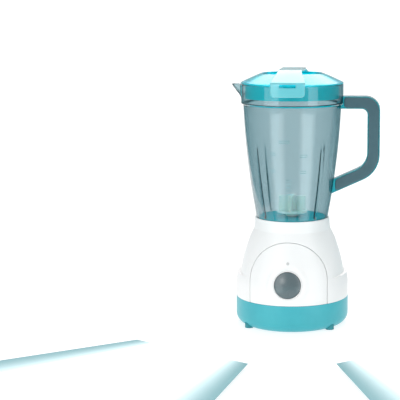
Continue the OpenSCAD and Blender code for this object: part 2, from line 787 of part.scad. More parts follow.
module jug() {
    inner = [for (i = [jug_steps:-1:0]) [jug_at(jug_levels[i]) - jug_wall, jug_levels[i]]];
    color("lightblue", 0.5) difference() {
        union() {
            difference() {
                union() {
                    rotate_extrude($fn = fine) polygon(concat([for (z = jug_levels) [jug_at(z), z]],
                        [[collar_r, collar_z + step_h], [collar_r, rim_z], [0, rim_z], [0, wall_z]]));
                    spout_block(collar_r + spout_out, spout_half, 0, rim_z);
                }
                rotate_extrude($fn = fine) polygon(concat([[0, rim_z + over], [collar_in, rim_z + over],
                    [collar_in, collar_z + step_h + 1]], inner,
                    [[jug_foot_r - jug_wall, wall_z - over], [0, wall_z - over]]));
                spout_block(collar_r + spout_out - 1.8, spout_half - 1.8, 1.8, rim_z + over);
            }
            // ribs down the inside
            for (a = [45, 135, 225, 315]) rotate([0, 0, a - 1.6]) rotate_extrude(angle = 3.2, $fn = fine)
                polygon(concat([for (z = rib_levels) [jug_at(z) - jug_wall / 2, z]],
                    [for (i = [len(rib_levels) - 1:-1:0]) let (z = rib_levels[i])
                        [jug_at(z) - jug_wall - rib_d * min(1, 0.3 + 1.2 * (rib_top - z) / rib_h), z]]));
        }
        handle_lugs(play / 2);
    }
}

module jug_base() {
    color("darkturquoise") difference() {
        rotate_extrude($fn = fine) polygon([
            [0, wall_z - base_floor_t], [jug_foot_r - base_floor_t, wall_z - base_floor_t],
            [jug_foot_r - base_floor_t, base_bottom], [jug_foot_r, base_bottom],
            [jug_foot_r, wall_z - snug / 2],
            [jug_foot_r - jug_wall - snug, wall_z - snug / 2],
            [jug_foot_r - jug_wall - snug, floor_z], [0, floor_z]]);
        translate([0, 0, wall_z - 5]) rod(bush_r + 0.6, 10);
        for (a = [0, 90, 180, 270]) rotate([0, 0, a])
            translate([jug_foot_r - key_l - 2, -key_w / 2 - play, base_bottom - over])
                cube([key_l + 4, key_w + 2 * play, key_h + over + play]);
    }
}

bush_low = wall_z - base_floor_t - 1;
module jug_bush() {
    color("darkgoldenrod") difference() {
        union() {
            translate([0, 0, bush_low]) tube(bush_r + 0.6, shaft_r + fit, floor_z - bush_low + 0.2);
            translate([0, 0, bush_low]) tube(bush_r + 2.2, bush_r - 0.5, 1 - snug);
        }
        translate([0, 0, floor_z - 1.2]) rod(shaft_r + 1.3, 3);
    }
}

module shaft_seal() {
    color("black") translate([0, 0, floor_z - 1.15]) tube(shaft_r + 1.25, shaft_r + fit, 1.2);
}

module driven_coupling() {
    color("teal") {
        translate([0, 0, dog_top]) tube(dog_r, shaft_r, bush_low - dog_top - play);
        dog_lugs(dog_top - dog_lug_h, 30);
    }
}

hub_h = 1.6;
disc_z = floor_z + 0.4 + hub_h;
disc_t = 2;
paddle_t = 1.8;
paddle_r = impeller_r - 1.7;
shaft_top = disc_z + disc_t + 9;
module impeller_shaft() {
    color("silver") translate([0, 0, dog_top]) rod(shaft_r, shaft_top - dog_top);
}

module impeller() {
    color("aquamarine") difference() {
        union() {
            translate([0, 0, floor_z + 0.4]) rod(8.3, hub_h + 0.5);
            translate([0, 0, disc_z]) drum(impeller_r, disc_t);
            translate([0, 0, disc_z]) rod(3.8, disc_t + paddle_h + 1);
            for (a = [0, 90]) rotate([0, 0, a]) translate([-paddle_r, -paddle_t / 2, disc_z + disc_t - 0.5])
                cube([2 * paddle_r, paddle_t, paddle_h + 0.5]);
        }
        translate([0, 0, floor_z]) rod(shaft_r, shaft_top - floor_z);
    }
}

// ---- handle ----------------------------------------------------------------------------------

grip_x = handle_reach - handle_w / 2;
arm_z = rim_z - handle_drop;
bend_z = floor_z + handle_low;
top_out_r = 14.5;
top_in_r = 5.8;
low_out_r = 28;
low_in_r = 19;
slope_dir = [cos(handle_slope), sin(handle_slope)];
slope_up = [-slope_dir[1], slope_dir[0]];

// The point at distance d outwards from where the grip's line meets the lower arm's
function low_corner(d) = let (n1 = [1, 0], n2 = -slope_up) [grip_x, bend_z] + d * (n1 + n2) / (1 + n1 * n2);
// The point on the lower arm's edge, d below its centre line, at x
function arm_edge(x, d) = let (p = [grip_x, bend_z] - d * slope_up)
    [x, p[1] - (p[0] - x) * tan(handle_slope)];

// The handle's outline with its ends at x_top and x_low, drawn in by inset
module handle_outline(inset, x_top, x_low) {
    h = handle_w / 2 - inset;
    oc = low_corner(h);
    ic = low_corner(-h);
    polygon(rounded_path([
        [x_top, arm_z + h, 0],
        [grip_x + h, arm_z + h, top_out_r - inset],
        [oc[0], oc[1], low_out_r - inset],
        [arm_edge(x_low, h)[0], arm_edge(x_low, h)[1], inset > 0 ? 2 : 0],
        [arm_edge(x_low, -h)[0], arm_edge(x_low, -h)[1], inset > 0 ? 2 : 0],
        [ic[0], ic[1], low_in_r + inset],
        [grip_x - h, arm_z - h, top_in_r + inset],
        [x_top, arm_z - h, 0]], 7));
}

// A slab of a front-view outline, centred on y = 0 and t thick
module slab(t) {
    translate([0, t / 2, 0]) rotate([90, 0, 0]) linear_extrude(t) children();
}

lug_t = 8;
top_lug_h = 7;
low_lug_h = 12;
lug_in = 2.2;                             // how far the lugs show inside the jug
top_lug_z = arm_z - (handle_w - top_lug_h) / 2;
low_lug_z = arm_edge(jug_foot_r + 5, 0)[1];
cover_t2 = 2.5;
frame_t = handle_t - 2;
cover_pocket = cover_t2 - 1;
cover_top_x = collar_r + 1;               // where the covers end on the upper arm
cover_low_x = jug_foot_r + 7.8;           // and on the lower arm

// The two lugs that go through the wall of the jug, grown by g
module handle_lugs(g) {
    for (lug = [[top_lug_z, top_lug_h], [low_lug_z, low_lug_h]]) let (z = lug[0], h = lug[1] + 2 * g)
        translate([jug_at(min(z, collar_z)) - jug_wall - lug_in, -lug_t / 2 - g, z - h / 2])
            cube([lug_in + 9, lug_t + 2 * g, h]);
}

module handle_frame() {
    color("darkcyan") difference() {
        union() {
            difference() {
                slab(frame_t) handle_outline(0, collar_r - 5, jug_foot_r);
                // the jug's outside, with its collar
                rotate_extrude($fn = fine) polygon(concat([for (z = jug_levels) [jug_at(z) + play, z]],
                    [[jug_at(collar_z) + play, collar_z - play], [collar_r + play, collar_z - play],
                    [collar_r + play, rim_z + 5], [0, rim_z + 5], [0, wall_z]]));
            }
            handle_lugs(0);
        }
        for (side = [-1, 1]) translate([0, side * (frame_t / 2 - cover_pocket / 2 + over / 2), 0])
            slab(cover_pocket + over) handle_outline(cover_inset, cover_top_x, cover_low_x);
    }
}

module handle_cover(side) {
    color("slategray") translate([0, side * (frame_t / 2 - cover_pocket + cover_t2 / 2 + snug / 2), 0])
        slab(cover_t2 - snug)
            handle_outline(cover_inset + snug, cover_top_x + snug, cover_low_x + snug);
}
module handle_cover_front() handle_cover(-1);
module handle_cover_back() handle_cover(1);

// ---- lid -------------------------------------------------------------------------------------

lid_z = rim_z + play;
lid_edge = 1.4;
lid_edge_z = lid_z + lid_edge;
crest_z = lid_edge_z + lid_rise;
crest_r = recess_r + 0.8;
recess_z = crest_z - recess_h;
lid_steps = 6;
// The lid's top between its edge and its crest
function lid_at(r) = lid_edge_z + lid_rise * (1 - pow(max(0, (r - crest_r) / (collar_r - crest_r)), 1.1));
lid_rs = [for (i = [0:lid_steps]) collar_r + (crest_r - collar_r) * i / lid_steps];

module lid() {
    under_rs = [for (i = [lid_steps:-1:0]) if (lid_rs[i] < skirt_r - lid_t) lid_rs[i]];
    color("turquoise", 0.7) difference() {
        rotate_extrude($fn = fine) polygon(concat(
            [for (r = [skirt_r - lid_t, skirt_r]) [r, rim_z - skirt_h]],
            [for (r = [skirt_r, collar_r]) [r, lid_z]],
            [for (r = lid_rs) [r, lid_at(r)]],
            [[recess_r, crest_z], [recess_r - 0.6, recess_z], [0, recess_z], [0, recess_z - lid_t],
            [recess_r - 0.6 + lid_t, recess_z - lid_t]],
            [for (r = under_rs) [max(r, recess_r + lid_t), lid_at(r) - lid_t]],
            [[skirt_r - lid_t, lid_at(skirt_r - lid_t) - lid_t]]));
        at_strap_pins() rod(strap_pin_r + snug, rim_z);
    }
}

slot_h = 3.3;
bridge_z = crest_z + 1.9;
strap_gap = 0.15;
tab_in = collar_r + play;
tab_out = tab_in + strap_t - 0.2;
tab_bottom = lid_edge_z - tab_h;
strap_pin_r = 1.4;
strap_pin_y = 40;
module at_strap_pins() {
    for (side = [-1, 1]) translate([0, side * strap_pin_y, lid_at(strap_pin_y) - lid_t - 1.5]) children();
}

// A quarter of the strap's plan, from the edge of a tab to the narrow middle
strap_quarter = [[tab_w / 2, tab_out + 2, 0], [tab_w / 2, tab_out - 5, 3], [strap_w / 2, recess_r + 1.4, 8]];

// Plan of the strap: wide tabs at the front and back, narrow over the recess
module strap_plan() {
    polygon(rounded_path(concat(
        [for (p = strap_quarter) [p[0], -p[1], p[2]]],
        [for (i = [2:-1:0]) let (p = strap_quarter[i]) p],
        [for (p = strap_quarter) [-p[0], p[1], p[2]]],
        [for (i = [2:-1:0]) let (p = strap_quarter[i]) [-p[0], -p[1], p[2]]]), 4));
}

module lid_strap() {
    up_rs = [for (r = lid_rs) if (r < collar_r - 0.5) r];
    color("paleturquoise") {
        difference() {
            intersection() {
                rotate_extrude($fn = fine) polygon(concat(
                    [[tab_in, tab_bottom], [tab_in, lid_edge_z + strap_gap]],
                    [for (r = up_rs) [r, lid_at(r) + strap_gap]], [[crest_r - 3, bridge_z], [0, bridge_z],
                    [0, bridge_z + strap_t], [crest_r - 4, bridge_z + strap_t]],
                    [for (i = [len(up_rs) - 1:-1:0]) let (r = up_rs[i])
                        [r + 0.8, lid_at(r) + strap_gap + strap_t]],
                    [[tab_out - 0.6, lid_edge_z + 2.4], [tab_out, lid_edge_z + 1], [tab_out, tab_bottom]]));
                linear_extrude(2 * rim_z) strap_plan();
            }
            for (side = [-1, 1]) translate([-slot_w / 2, side > 0 ? tab_in - 2 : -tab_in - 8, lid_edge_z - 2.6])
                cube([slot_w, 10, slot_h]);
        }
        at_strap_pins() rod(strap_pin_r, lid_t + 1.5 + strap_gap + 0.6);
    }
}

upper_housing();
front_panel();
lower_tray();
foot_pads();
housing_screws();
button();
button_spring();
button_bezel();
circuit_board();
board_screws();
push_switch();
status_lamp();
internal_wires();
battery_cells();
battery_contacts();
battery_door();
door_screw();
motor();
motor_pinion();
gearbox_plate();
gearbox_cover();
gearbox_screws();
drive_gear();
drive_shaft();
shaft_bush();
drive_coupling();
jug();
jug_base();
jug_bush();
shaft_seal();
driven_coupling();
impeller_shaft();
impeller();
handle_frame();
handle_cover_front();
handle_cover_back();
lid();
lid_strap();
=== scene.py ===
"""A toy blender: a clear teal jug with lid and handle on a round white base with a teal tray."""
import math

import bmesh
import bpy
import numpy as np
from mathutils import Matrix, Vector


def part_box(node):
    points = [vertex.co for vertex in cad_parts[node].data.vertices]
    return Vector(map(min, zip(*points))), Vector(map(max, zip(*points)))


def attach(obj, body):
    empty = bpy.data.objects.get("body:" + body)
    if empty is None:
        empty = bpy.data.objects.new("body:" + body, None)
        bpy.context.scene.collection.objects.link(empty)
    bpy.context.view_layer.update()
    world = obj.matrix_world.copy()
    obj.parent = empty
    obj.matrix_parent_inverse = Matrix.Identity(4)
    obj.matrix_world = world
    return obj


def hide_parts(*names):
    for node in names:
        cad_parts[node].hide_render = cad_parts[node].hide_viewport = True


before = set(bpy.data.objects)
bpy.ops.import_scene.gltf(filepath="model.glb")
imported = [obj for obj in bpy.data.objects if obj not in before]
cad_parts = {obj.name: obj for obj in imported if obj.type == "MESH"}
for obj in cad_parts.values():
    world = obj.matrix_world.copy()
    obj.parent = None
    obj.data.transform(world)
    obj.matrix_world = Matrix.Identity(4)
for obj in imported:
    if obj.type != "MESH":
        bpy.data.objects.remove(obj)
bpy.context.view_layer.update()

# ---- sizes, in millimetres ----
# +Z is up, the front with the button faces -Y and the handle points to +X

MM = 0.001
BASE_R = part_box("lower_tray")[1].x / MM
TRAY_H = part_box("upper_housing")[0].z / MM
NECK_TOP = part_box("upper_housing")[1].z / MM
RIM_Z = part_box("jug")[1].z / MM
WALL_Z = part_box("jug")[0].z / MM
LID_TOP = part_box("lid")[1].z / MM
STRAP_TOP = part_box("lid_strap")[1].z / MM

SHELL = 2.2                # wall of the base's shells
LEDGE_Z = 52.5             # the small step round each side
LEDGE_IN = 2.8
SHOULDER_Z = (TRAY_H + LEDGE_Z) / 2
SHOULDER_DROP = 1.5
CREASE_Z = 97.5            # where the bell meets the neck
NECK_LOW_R = 38.4
NECK_FLARE = 0.7
SEAT_R = 36.3              # inside of the neck
DECK_TOP = 92.5
DECK_LOW = 90.0
DECK_HOLE_R = 4.4
SCOOP_SHIFT = 14.0
SCOOP_RUN = 36.0

ARCH_HALF = 38.6           # the front panel's arch
ARCH_MID = 50.4
SEAM = 0.15                # half of the gap round the panel
BOSS_R = 20.0
BOSS_TILT = math.radians(9.2)
BOSS_Z = 48.5
BOSS_OUT = BASE_R + 0.2 - BOSS_R * math.sin(BOSS_TILT)
BUTTON_R = 13.0
BEZEL_R = 14.4
LAMP_UP = 21.3
LAMP_R = 1.5

JUG_FOOT_R = 36.0
JUG_TOP_R = 49.2
JUG_BOW = 8.2
JUG_WALL = 2.0
COLLAR_R = 51.3
COLLAR_Z = 222.0
STEP_H = 1.6
FLOOR_Z = WALL_Z + 1.8
RIB_TOP = 185.0
RIB_RUN = 76.0             # the ribs grow wider over this height
RIB_HALF, RIB_GROW = 1.5, 1.6  # half of their width at the top, and what it gains further down
RIB_DENT = 0.15            # their groove outside
RIB_RIDGE = 1.3            # and their ridge inside
SPOUT_R = COLLAR_R + 9.2
SPOUT_LOW = (50.3, 230.5)  # radius and height where its underside starts
SPOUT_RUN, SPOUT_RISE = 10.2, 11.0
SPOUT_T = 1.8
RIM_EDGE = 0.6             # radius of the rim's edges

GRIP_X = 81.75
HANDLE_W = 12.5
FRAME_T = 14.0
ARM_Z = 224.5
BEND_Z = 158.8
SLOPE = math.radians(24.5)
LOW_ARM_X = 41.0           # about where the lower arm meets the jug
OUTER_TOP_R, OUTER_LOW_R, INNER_LOW_R, INNER_TOP_R = 14.5, 28.0, 19.0, 5.8
END_R = 2.0                # roundness of the covers' ends

LID_EDGE_Z = 244.2
CREST_R = 30.8
RECESS_R = 30.0
RECESS_Z = 246.2
SKIRT_R = 47.4
SKIRT_Z = 228.5
LID_T = 1.8

STRAP_HALF = 12.0
TAB_HALF = 17.0
TAB_R = 53.8
TAB_LOW = 232.4
STRAP_T = 2.4
STRAP_GAP = 0.15           # between strap and lid
STRAP_DOWN_R = 31.9        # where the strap comes down to the lid
STRAP_FOLD_R = 2.8         # its fold at the lid's edge
SLOT_HALF, SLOT_LOW, SLOT_TOP = 8.0, 241.6, 244.9


def smooth(lo, hi, x):
    """0 below lo, 1 above hi, and an even curve between them"""
    t = np.clip((np.asarray(x, float) - lo) / (hi - lo), 0, 1)
    return t * t * (3 - 2 * t)


def foot_at(z):
    return BASE_R - SHOULDER_DROP * (np.maximum(0, z - SHOULDER_Z) / (LEDGE_Z - SHOULDER_Z)) ** 2


def bell_at(z):
    u = (CREASE_Z - z) / (CREASE_Z - LEDGE_Z)
    return NECK_LOW_R + (BASE_R - SHOULDER_DROP - NECK_LOW_R) * (u + 0.36 * u * (1 - u))


def neck_at(z):
    return NECK_LOW_R - NECK_FLARE * (z - CREASE_Z) / (NECK_TOP - CREASE_Z)


def skin_at(z):
    """Radius of the base's round skin"""
    z = np.asarray(z, float)
    return np.where(z <= LEDGE_Z, foot_at(z), np.where(z <= CREASE_Z, bell_at(z), neck_at(z)))


def housing_at(turn, z):
    """The same with the scoop at each side, which leaves the ledge. turn is from the front."""
    skin = skin_at(z)
    across = np.abs(np.sin(turn))
    along = np.abs(np.cos(turn))
    scoop = bell_at(z) + LEDGE_IN * ((z - LEDGE_Z) / SCOOP_RUN - 1) + SCOOP_SHIFT
    cut = -SCOOP_SHIFT * across + np.sqrt(scoop ** 2 - (SCOOP_SHIFT * along) ** 2)
    depth = np.clip(skin - cut, 0, None)
    depth = np.where(z > CREASE_Z - 8, 0, depth)
    return skin - depth * smooth(LEDGE_Z - 0.25, LEDGE_Z + 0.3, z)


def jug_at(z):
    u = (np.asarray(z, float) - WALL_Z) / (COLLAR_Z - WALL_Z)
    return JUG_FOOT_R + (JUG_TOP_R - JUG_FOOT_R) * u + JUG_BOW * u * (1 - u)


def lid_at(r):
    """Height of the lid's top between its edge and its crest"""
    t = np.clip((np.asarray(r, float) - CREST_R) / (COLLAR_R - CREST_R), 0, None)
    return LID_EDGE_Z + (LID_TOP - LID_EDGE_Z) * (1 - t ** 1.1)


# ---- mesh helpers ----

def rounded(corners, steps=5):
    """The points of a closed line of corners (x, y, radius), each with its arc"""
    line = []
    for i, corner in enumerate(corners):
        p = np.array(corner[:2], float)
        radius = corner[2] if len(corner) > 2 else 0
        if not radius:
            line.append(p)
            continue
        a = np.array(corners[i - 1][:2], float) - p
        b = np.array(corners[(i + 1) % len(corners)][:2], float) - p
        a /= np.linalg.norm(a)
        b /= np.linalg.norm(b)
        half = math.acos(np.clip(a @ b, -1, 1)) / 2
        middle = p + (a + b) / np.linalg.norm(a + b) * radius / math.sin(half)
        start = p + a * radius / math.tan(half) - middle
        sweep = (math.pi - 2 * half) * -np.sign(a[0] * b[1] - a[1] * b[0])
        for t in np.linspace(0, sweep, steps + 1):
            c, s = math.cos(t), math.sin(t)
            line.append(middle + [start[0] * c - start[1] * s, start[0] * s + start[1] * c])
    return np.array(line)


def turned(profile, columns=160):
    """A sheet from a line of (radius, height) turned about the upright axis"""
    angle = np.linspace(0, 2 * math.pi, columns, endpoint=False)
    r = np.asarray(profile)[:, :1]
    z = np.repeat(np.asarray(profile)[:, 1:2], columns, axis=1)
    return np.stack([r * np.cos(angle), r * np.sin(angle), z], -1)


def on_boss(points):
    """Puts points made about the button's axis, with +Z outwards, on the tilted boss"""
    x, u, n = points[..., 0], points[..., 1], points[..., 2]
    c, s = math.cos(BOSS_TILT), math.sin(BOSS_TILT)
    return np.stack([x, -BOSS_OUT + u * s - n * c, BOSS_Z + u * c + n * s], -1)


def mesh_of(name, sheets, rings=True, sharp=32):
    """A closed mesh from sheets of points [row, column], whose columns close where rings is true"""
    points, faces, start = [], [], 0
    for sheet in sheets:
        rows, columns = sheet.shape[:2]
        grid = start + np.arange(rows * columns).reshape(rows, columns)
        if rings:
            grid = np.hstack([grid, grid[:, :1]])
        quads = np.stack([grid[:-1, :-1], grid[:-1, 1:], grid[1:, 1:], grid[1:, :-1]], -1)
        points.append(sheet.reshape(-1, 3))
        faces.append(quads.reshape(-1, 4))
        start += rows * columns
    mesh = bpy.data.meshes.new(name)
    mesh.from_pydata((np.vstack(points) * MM).tolist(), [], np.vstack(faces).tolist())
    close_up(mesh, sharp)
    return mesh


def close_up(mesh, sharp):
    """Merges the seams and poles, closes the ends, turns the faces outwards and shades them"""
    work = bmesh.new()
    work.from_mesh(mesh)
    bmesh.ops.remove_doubles(work, verts=work.verts, dist=0.00001)
    bmesh.ops.dissolve_degenerate(work, edges=work.edges, dist=0.000002)
    bmesh.ops.holes_fill(work, edges=work.edges, sides=0)
    bmesh.ops.recalc_face_normals(work, faces=work.faces)
    work.to_mesh(mesh)
    work.free()
    shade(mesh, sharp)


def shade(mesh, sharp):
    """Smooth shading, with the edges sharp that turn by more than sharp degrees"""
    mesh.polygons.foreach_set("use_smooth", [True] * len(mesh.polygons))
    mesh.set_sharp_from_angle(angle=math.radians(sharp))


def block(lo, hi, radius):
    """A block between two corners with all its edges rounded"""
    mesh = bpy.data.meshes.new("block")
    work = bmesh.new()
    bmesh.ops.create_cube(work, size=1)
    middle, size = (np.array(lo) + hi) / 2 * MM, (np.array(hi) - lo) * MM
    for v in work.verts:
        v.co = Vector([m + s * c for m, s, c in zip(middle, size, v.co)])
    bmesh.ops.bevel(work, geom=list(work.edges), offset=radius * MM, segments=3, profile=0.5,
                    affect="EDGES")
    work.to_mesh(mesh)
    work.free()
    shade(mesh, 60)
    return mesh


def new_object(name, data):
    made = bpy.data.objects.new(name, data)
    bpy.context.scene.collection.objects.link(made)
    return made


def place(name, mesh, finish, body, stands_for=()):
    """Makes an object of a mesh, gives it its finish and lets it ride on its body"""
    piece = new_object(name, mesh)
    mesh.materials.clear()
    mesh.materials.append(finish)
    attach(piece, body)
    if stands_for:
        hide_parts(*stands_for)


def cut_by(mesh, cutters):
    """Takes closed meshes out of a closed mesh"""
    bodies = [new_object("work", m) for m in [mesh] + cutters]
    for cutter in bodies[1:]:
        step = bodies[0].modifiers.new("cut", "BOOLEAN")
        step.operation = "DIFFERENCE"
        step.solver = "EXACT"
        step.object = cutter
    depsgraph = bpy.context.evaluated_depsgraph_get()
    result = bpy.data.meshes.new_from_object(bodies[0].evaluated_get(depsgraph))
    for body in bodies:
        bpy.data.objects.remove(body)
    shade(result, 32)
    return result


# ---- materials ----

def linear(hex_colour):
    """An sRGB hex colour as the linear numbers that the shaders use"""
    parts = [int(hex_colour[i:i + 2], 16) / 255 for i in (1, 3, 5)]
    return [p / 12.92 if p <= 0.04045 else ((p + 0.055) / 1.055) ** 2.4 for p in parts] + [1]


def add_node(tree, kind, inputs=None, **settings):
    """Adds a node with its settings; an input is a value, or another node's output to link"""
    node = tree.nodes.new(kind)
    for key, value in settings.items():
        setattr(node, key, value)
    for key, value in (inputs or {}).items():
        if isinstance(value, bpy.types.NodeSocket):
            tree.links.new(value, node.inputs[key])
        else:
            node.inputs[key].default_value = value
    return node


def new_material(name):
    """An empty material, its tree and the place on the object in metres"""
    material = bpy.data.materials.new(name)
    material.use_nodes = True
    tree = material.node_tree
    tree.nodes.clear()
    return material, tree, add_node(tree, "ShaderNodeTexCoord").outputs["Object"]


def moulded(name, colour, other, rough, grain=0.8, depth=0.004, drift=35, stretch=(1, 1, 1),
            **shader):
    """A solid finish: colour drifts to other over drift mm, and its marks are grain mm wide"""
    material, tree, place_on = new_material(name)
    scaled = add_node(tree, "ShaderNodeMapping", {"Vector": place_on, "Scale": stretch}).outputs[0]
    cloud = add_node(tree, "ShaderNodeTexNoise", {"Vector": scaled, "Scale": 1 / (drift * MM),
                                                  "Detail": 3.0, "Roughness": 0.55})
    marks = add_node(tree, "ShaderNodeTexNoise", {"Vector": scaled, "Scale": 1 / (grain * MM),
                                                  "Detail": 2.0, "Roughness": 0.5})
    tone = add_node(tree, "ShaderNodeMapRange", {"Value": cloud.outputs[0], "From Min": 0.35,
                                                 "From Max": 0.65})
    # inputs 6 and 7 and output 2 are the Mix node's colours
    tint = add_node(tree, "ShaderNodeMix", {"Factor": tone.outputs[0], 6: linear(colour),
                                            7: linear(other)}, data_type="RGBA")
    gloss = add_node(tree, "ShaderNodeMapRange", {"Value": marks.outputs[0], "From Min": 0.3,
                                                  "From Max": 0.7, "To Min": rough * 0.9,
                                                  "To Max": rough * 1.12})
    relief = add_node(tree, "ShaderNodeBump", {"Height": marks.outputs[0], "Strength": 1.0,
                                               "Distance": depth * MM})
    surface = add_node(tree, "ShaderNodeBsdfPrincipled",
                       {"Base Color": tint.outputs[2], "Roughness": gloss.outputs[0],
                        "Normal": relief.outputs[0], **shader})
    add_node(tree, "ShaderNodeOutputMaterial", {"Surface": surface.outputs[0]})
    return material


WAVE, WAVE_DEPTH = 9, 0.02  # the moulding waves of the clear plastic, in mm


def clear(name, dye, density, rough=0.03, body="#FFFFFF", cloud=0.0, frost=None,
          lift=(0.96, 0.98, 0.98), **shader):
    """Clear dyed plastic: dye is the colour that is let through and density the loss per metre.
    cloud is the share of it that is milky, in the colour body; frost is a height in mm and the
    share below it. lift is what a shadow ray keeps at a surface; over 1 it makes up for the loss
    in the dye."""
    material, tree, place_on = new_material(name)
    waves = add_node(tree, "ShaderNodeTexNoise", {"Vector": place_on, "Scale": 1 / (WAVE * MM),
                                                  "Detail": 1.0})
    relief = add_node(tree, "ShaderNodeBump", {"Height": waves.outputs[0], "Strength": 1.0,
                                               "Distance": WAVE_DEPTH * MM})
    gloss = add_node(tree, "ShaderNodeMapRange", {"Value": waves.outputs[0], "To Min": rough * 0.6,
                                                  "To Max": rough * 1.4})
    surface = add_node(tree, "ShaderNodeBsdfPrincipled",
                       {"Base Color": linear(body), "Roughness": gloss.outputs[0], "IOR": 1.59,
                        "Transmission Weight": 1.0 - cloud, "Normal": relief.outputs[0], **shader})
    if frost:
        height = add_node(tree, "ShaderNodeSeparateXYZ", {"Vector": place_on}).outputs["Z"]
        share = add_node(tree, "ShaderNodeMapRange",
                         {"Value": height, "From Min": (frost[0] - 0.5) * MM,
                          "From Max": (frost[0] + 0.5) * MM, "To Min": 1 - frost[1],
                          "To Max": 1 - cloud})
        tree.links.new(share.outputs[0], surface.inputs["Transmission Weight"])
    inside = add_node(tree, "ShaderNodeVolumeAbsorption", {"Color": (*dye, 1), "Density": density})
    # light reaches what is inside: a shadow ray goes straight through
    path = add_node(tree, "ShaderNodeLightPath")
    through = add_node(tree, "ShaderNodeBsdfTransparent", {"Color": (*lift, 1)})
    lit = add_node(tree, "ShaderNodeMixShader", {0: path.outputs["Is Shadow Ray"],
                                                 1: surface.outputs[0], 2: through.outputs[0]})
    add_node(tree, "ShaderNodeOutputMaterial", {"Surface": lit.outputs[0],
                                                "Volume": inside.outputs[0]})
    return material


# Injection-moulded white ABS: an even satin shell with a very fine grain
white_shell = moulded("white_abs_shell", "#F0F0F0", "#EDEDED", 0.36, grain=0.7, depth=0.003)
# The same plastic off another tool, a touch glossier
white_panel = moulded("white_abs_panel", "#F1F1F1", "#EEEEEE", 0.33, grain=0.7, depth=0.003)
# Dyed ABS: a solid teal, satin, with the faint flow marks of moulding
teal_tray = moulded("teal_abs_tray", "#3FB2BE", "#3AABB8", 0.34, drift=25)
# Thermoplastic rubber feet: matt and slightly mottled
foot_rubber = moulded("teal_rubber_foot", "#2C8F99", "#25828C", 0.62, grain=0.5, depth=0.02,
                      drift=3)
# Zinc-plated steel screws: bright, with fine turning marks
plated_steel = moulded("zinc_plated_steel", "#B9BCC0", "#9FA3A8", 0.3, grain=0.3, depth=0.006,
                       drift=2, Metallic=1.0)
# Spring wire: drawn steel, darker than the plated screws
spring_wire = moulded("drawn_steel_wire", "#A4A6AA", "#8B8E93", 0.28, grain=0.2, drift=2,
                      Metallic=1.0)
# Grey polypropylene button: satin, its light catches in a soft patch
grey_button = moulded("grey_polypropylene_button", "#56666B", "#506166", 0.25, grain=0.6,
                      depth=0.003, drift=12, **{"Specular IOR Level": 0.85})
# Circuit board: green lacquer over glass cloth
board_lacquer = moulded("green_board_lacquer", "#1F6B3A", "#1A5F33", 0.35, grain=0.4, depth=0.01,
                        drift=6)
switch_black = moulded("black_nylon_switch", "#232426", "#1B1C1E", 0.45, grain=0.4, depth=0.01,
                       drift=4)
# Frosted lamp lens: milky acrylic, grey while it is off
lamp_lens = moulded("frosted_acrylic_lens", "#CFCFCF", "#C4C5C6", 0.28, grain=0.3, drift=2)
# PVC insulation on the leads: soft gloss
lead_red = moulded("red_pvc_insulation", "#B3262B", "#A31F25", 0.4, grain=0.5, depth=0.006, drift=6)
# Printed film round the cells: a plain dark jacket with a satin face
cell_film = moulded("grey_film_cell_jacket", "#4A5359", "#414A50", 0.35, grain=0.4, drift=10)
nickel = moulded("nickel_plated_contact", "#C6C2B8", "#B3AFA6", 0.25, grain=0.3, depth=0.005,
                 drift=3, Metallic=1.0)
# Drawn motor can: satin zinc with vertical draw marks
motor_can = moulded("drawn_steel_can", "#AEB1B5", "#9A9DA2", 0.34, grain=0.4, depth=0.006, drift=5,
                    stretch=(1, 1, 0.15), Metallic=1.0)
pinion_brass = moulded("turned_brass_pinion", "#C9A254", "#B48D44", 0.3, grain=0.2, drift=3,
                       Metallic=1.0)
gearbox_white = moulded("natural_nylon_gearbox", "#E6E4DC", "#DCDAD1", 0.45, grain=0.6, depth=0.006,
                        drift=10)
gear_nylon = moulded("acetal_gear", "#EDEBE4", "#E2E0D8", 0.4, grain=0.4, drift=8)
shaft_steel = moulded("ground_steel_shaft", "#BFC3C7", "#A9ADB2", 0.22, grain=0.3, depth=0.003,
                      drift=4, stretch=(1, 1, 6), Metallic=1.0)
bush_brass = moulded("sintered_bronze_bush", "#A77B45", "#94693A", 0.42, grain=0.15, depth=0.01,
                     drift=2, Metallic=1.0)
dog_teal = moulded("teal_acetal_coupling", "#2F9FA9", "#28939D", 0.4, grain=0.5, depth=0.006,
                   drift=6)
seal_rubber = moulded("black_nitrile_seal", "#1E1F20", "#18191A", 0.55, grain=0.3, depth=0.01,
                      drift=3)
# Pale mint polypropylene: waxy, lets a little light in
mint_impeller = moulded("mint_polypropylene_impeller", "#F4FBF4", "#EAF7EF", 0.36, drift=10,
                        **{"Subsurface Weight": 0.15, "Subsurface Scale": 0.002})
# Dyed ABS inserts of the handle: a satin slate grey, slightly blue
slate_cover = moulded("slate_abs_cover", "#46626B", "#405B64", 0.36, grain=0.6, drift=18)

# Clear styrene, lightly dyed: sharp reflections, soft moulding waves, deeper colour at its edges
BLUE = ((0.0, 0.3, 0.37), 312)
clear_blue = clear("clear_blue_styrene_jug", *BLUE, rough=0.05, lift=(1.45, 1.38, 1.33))
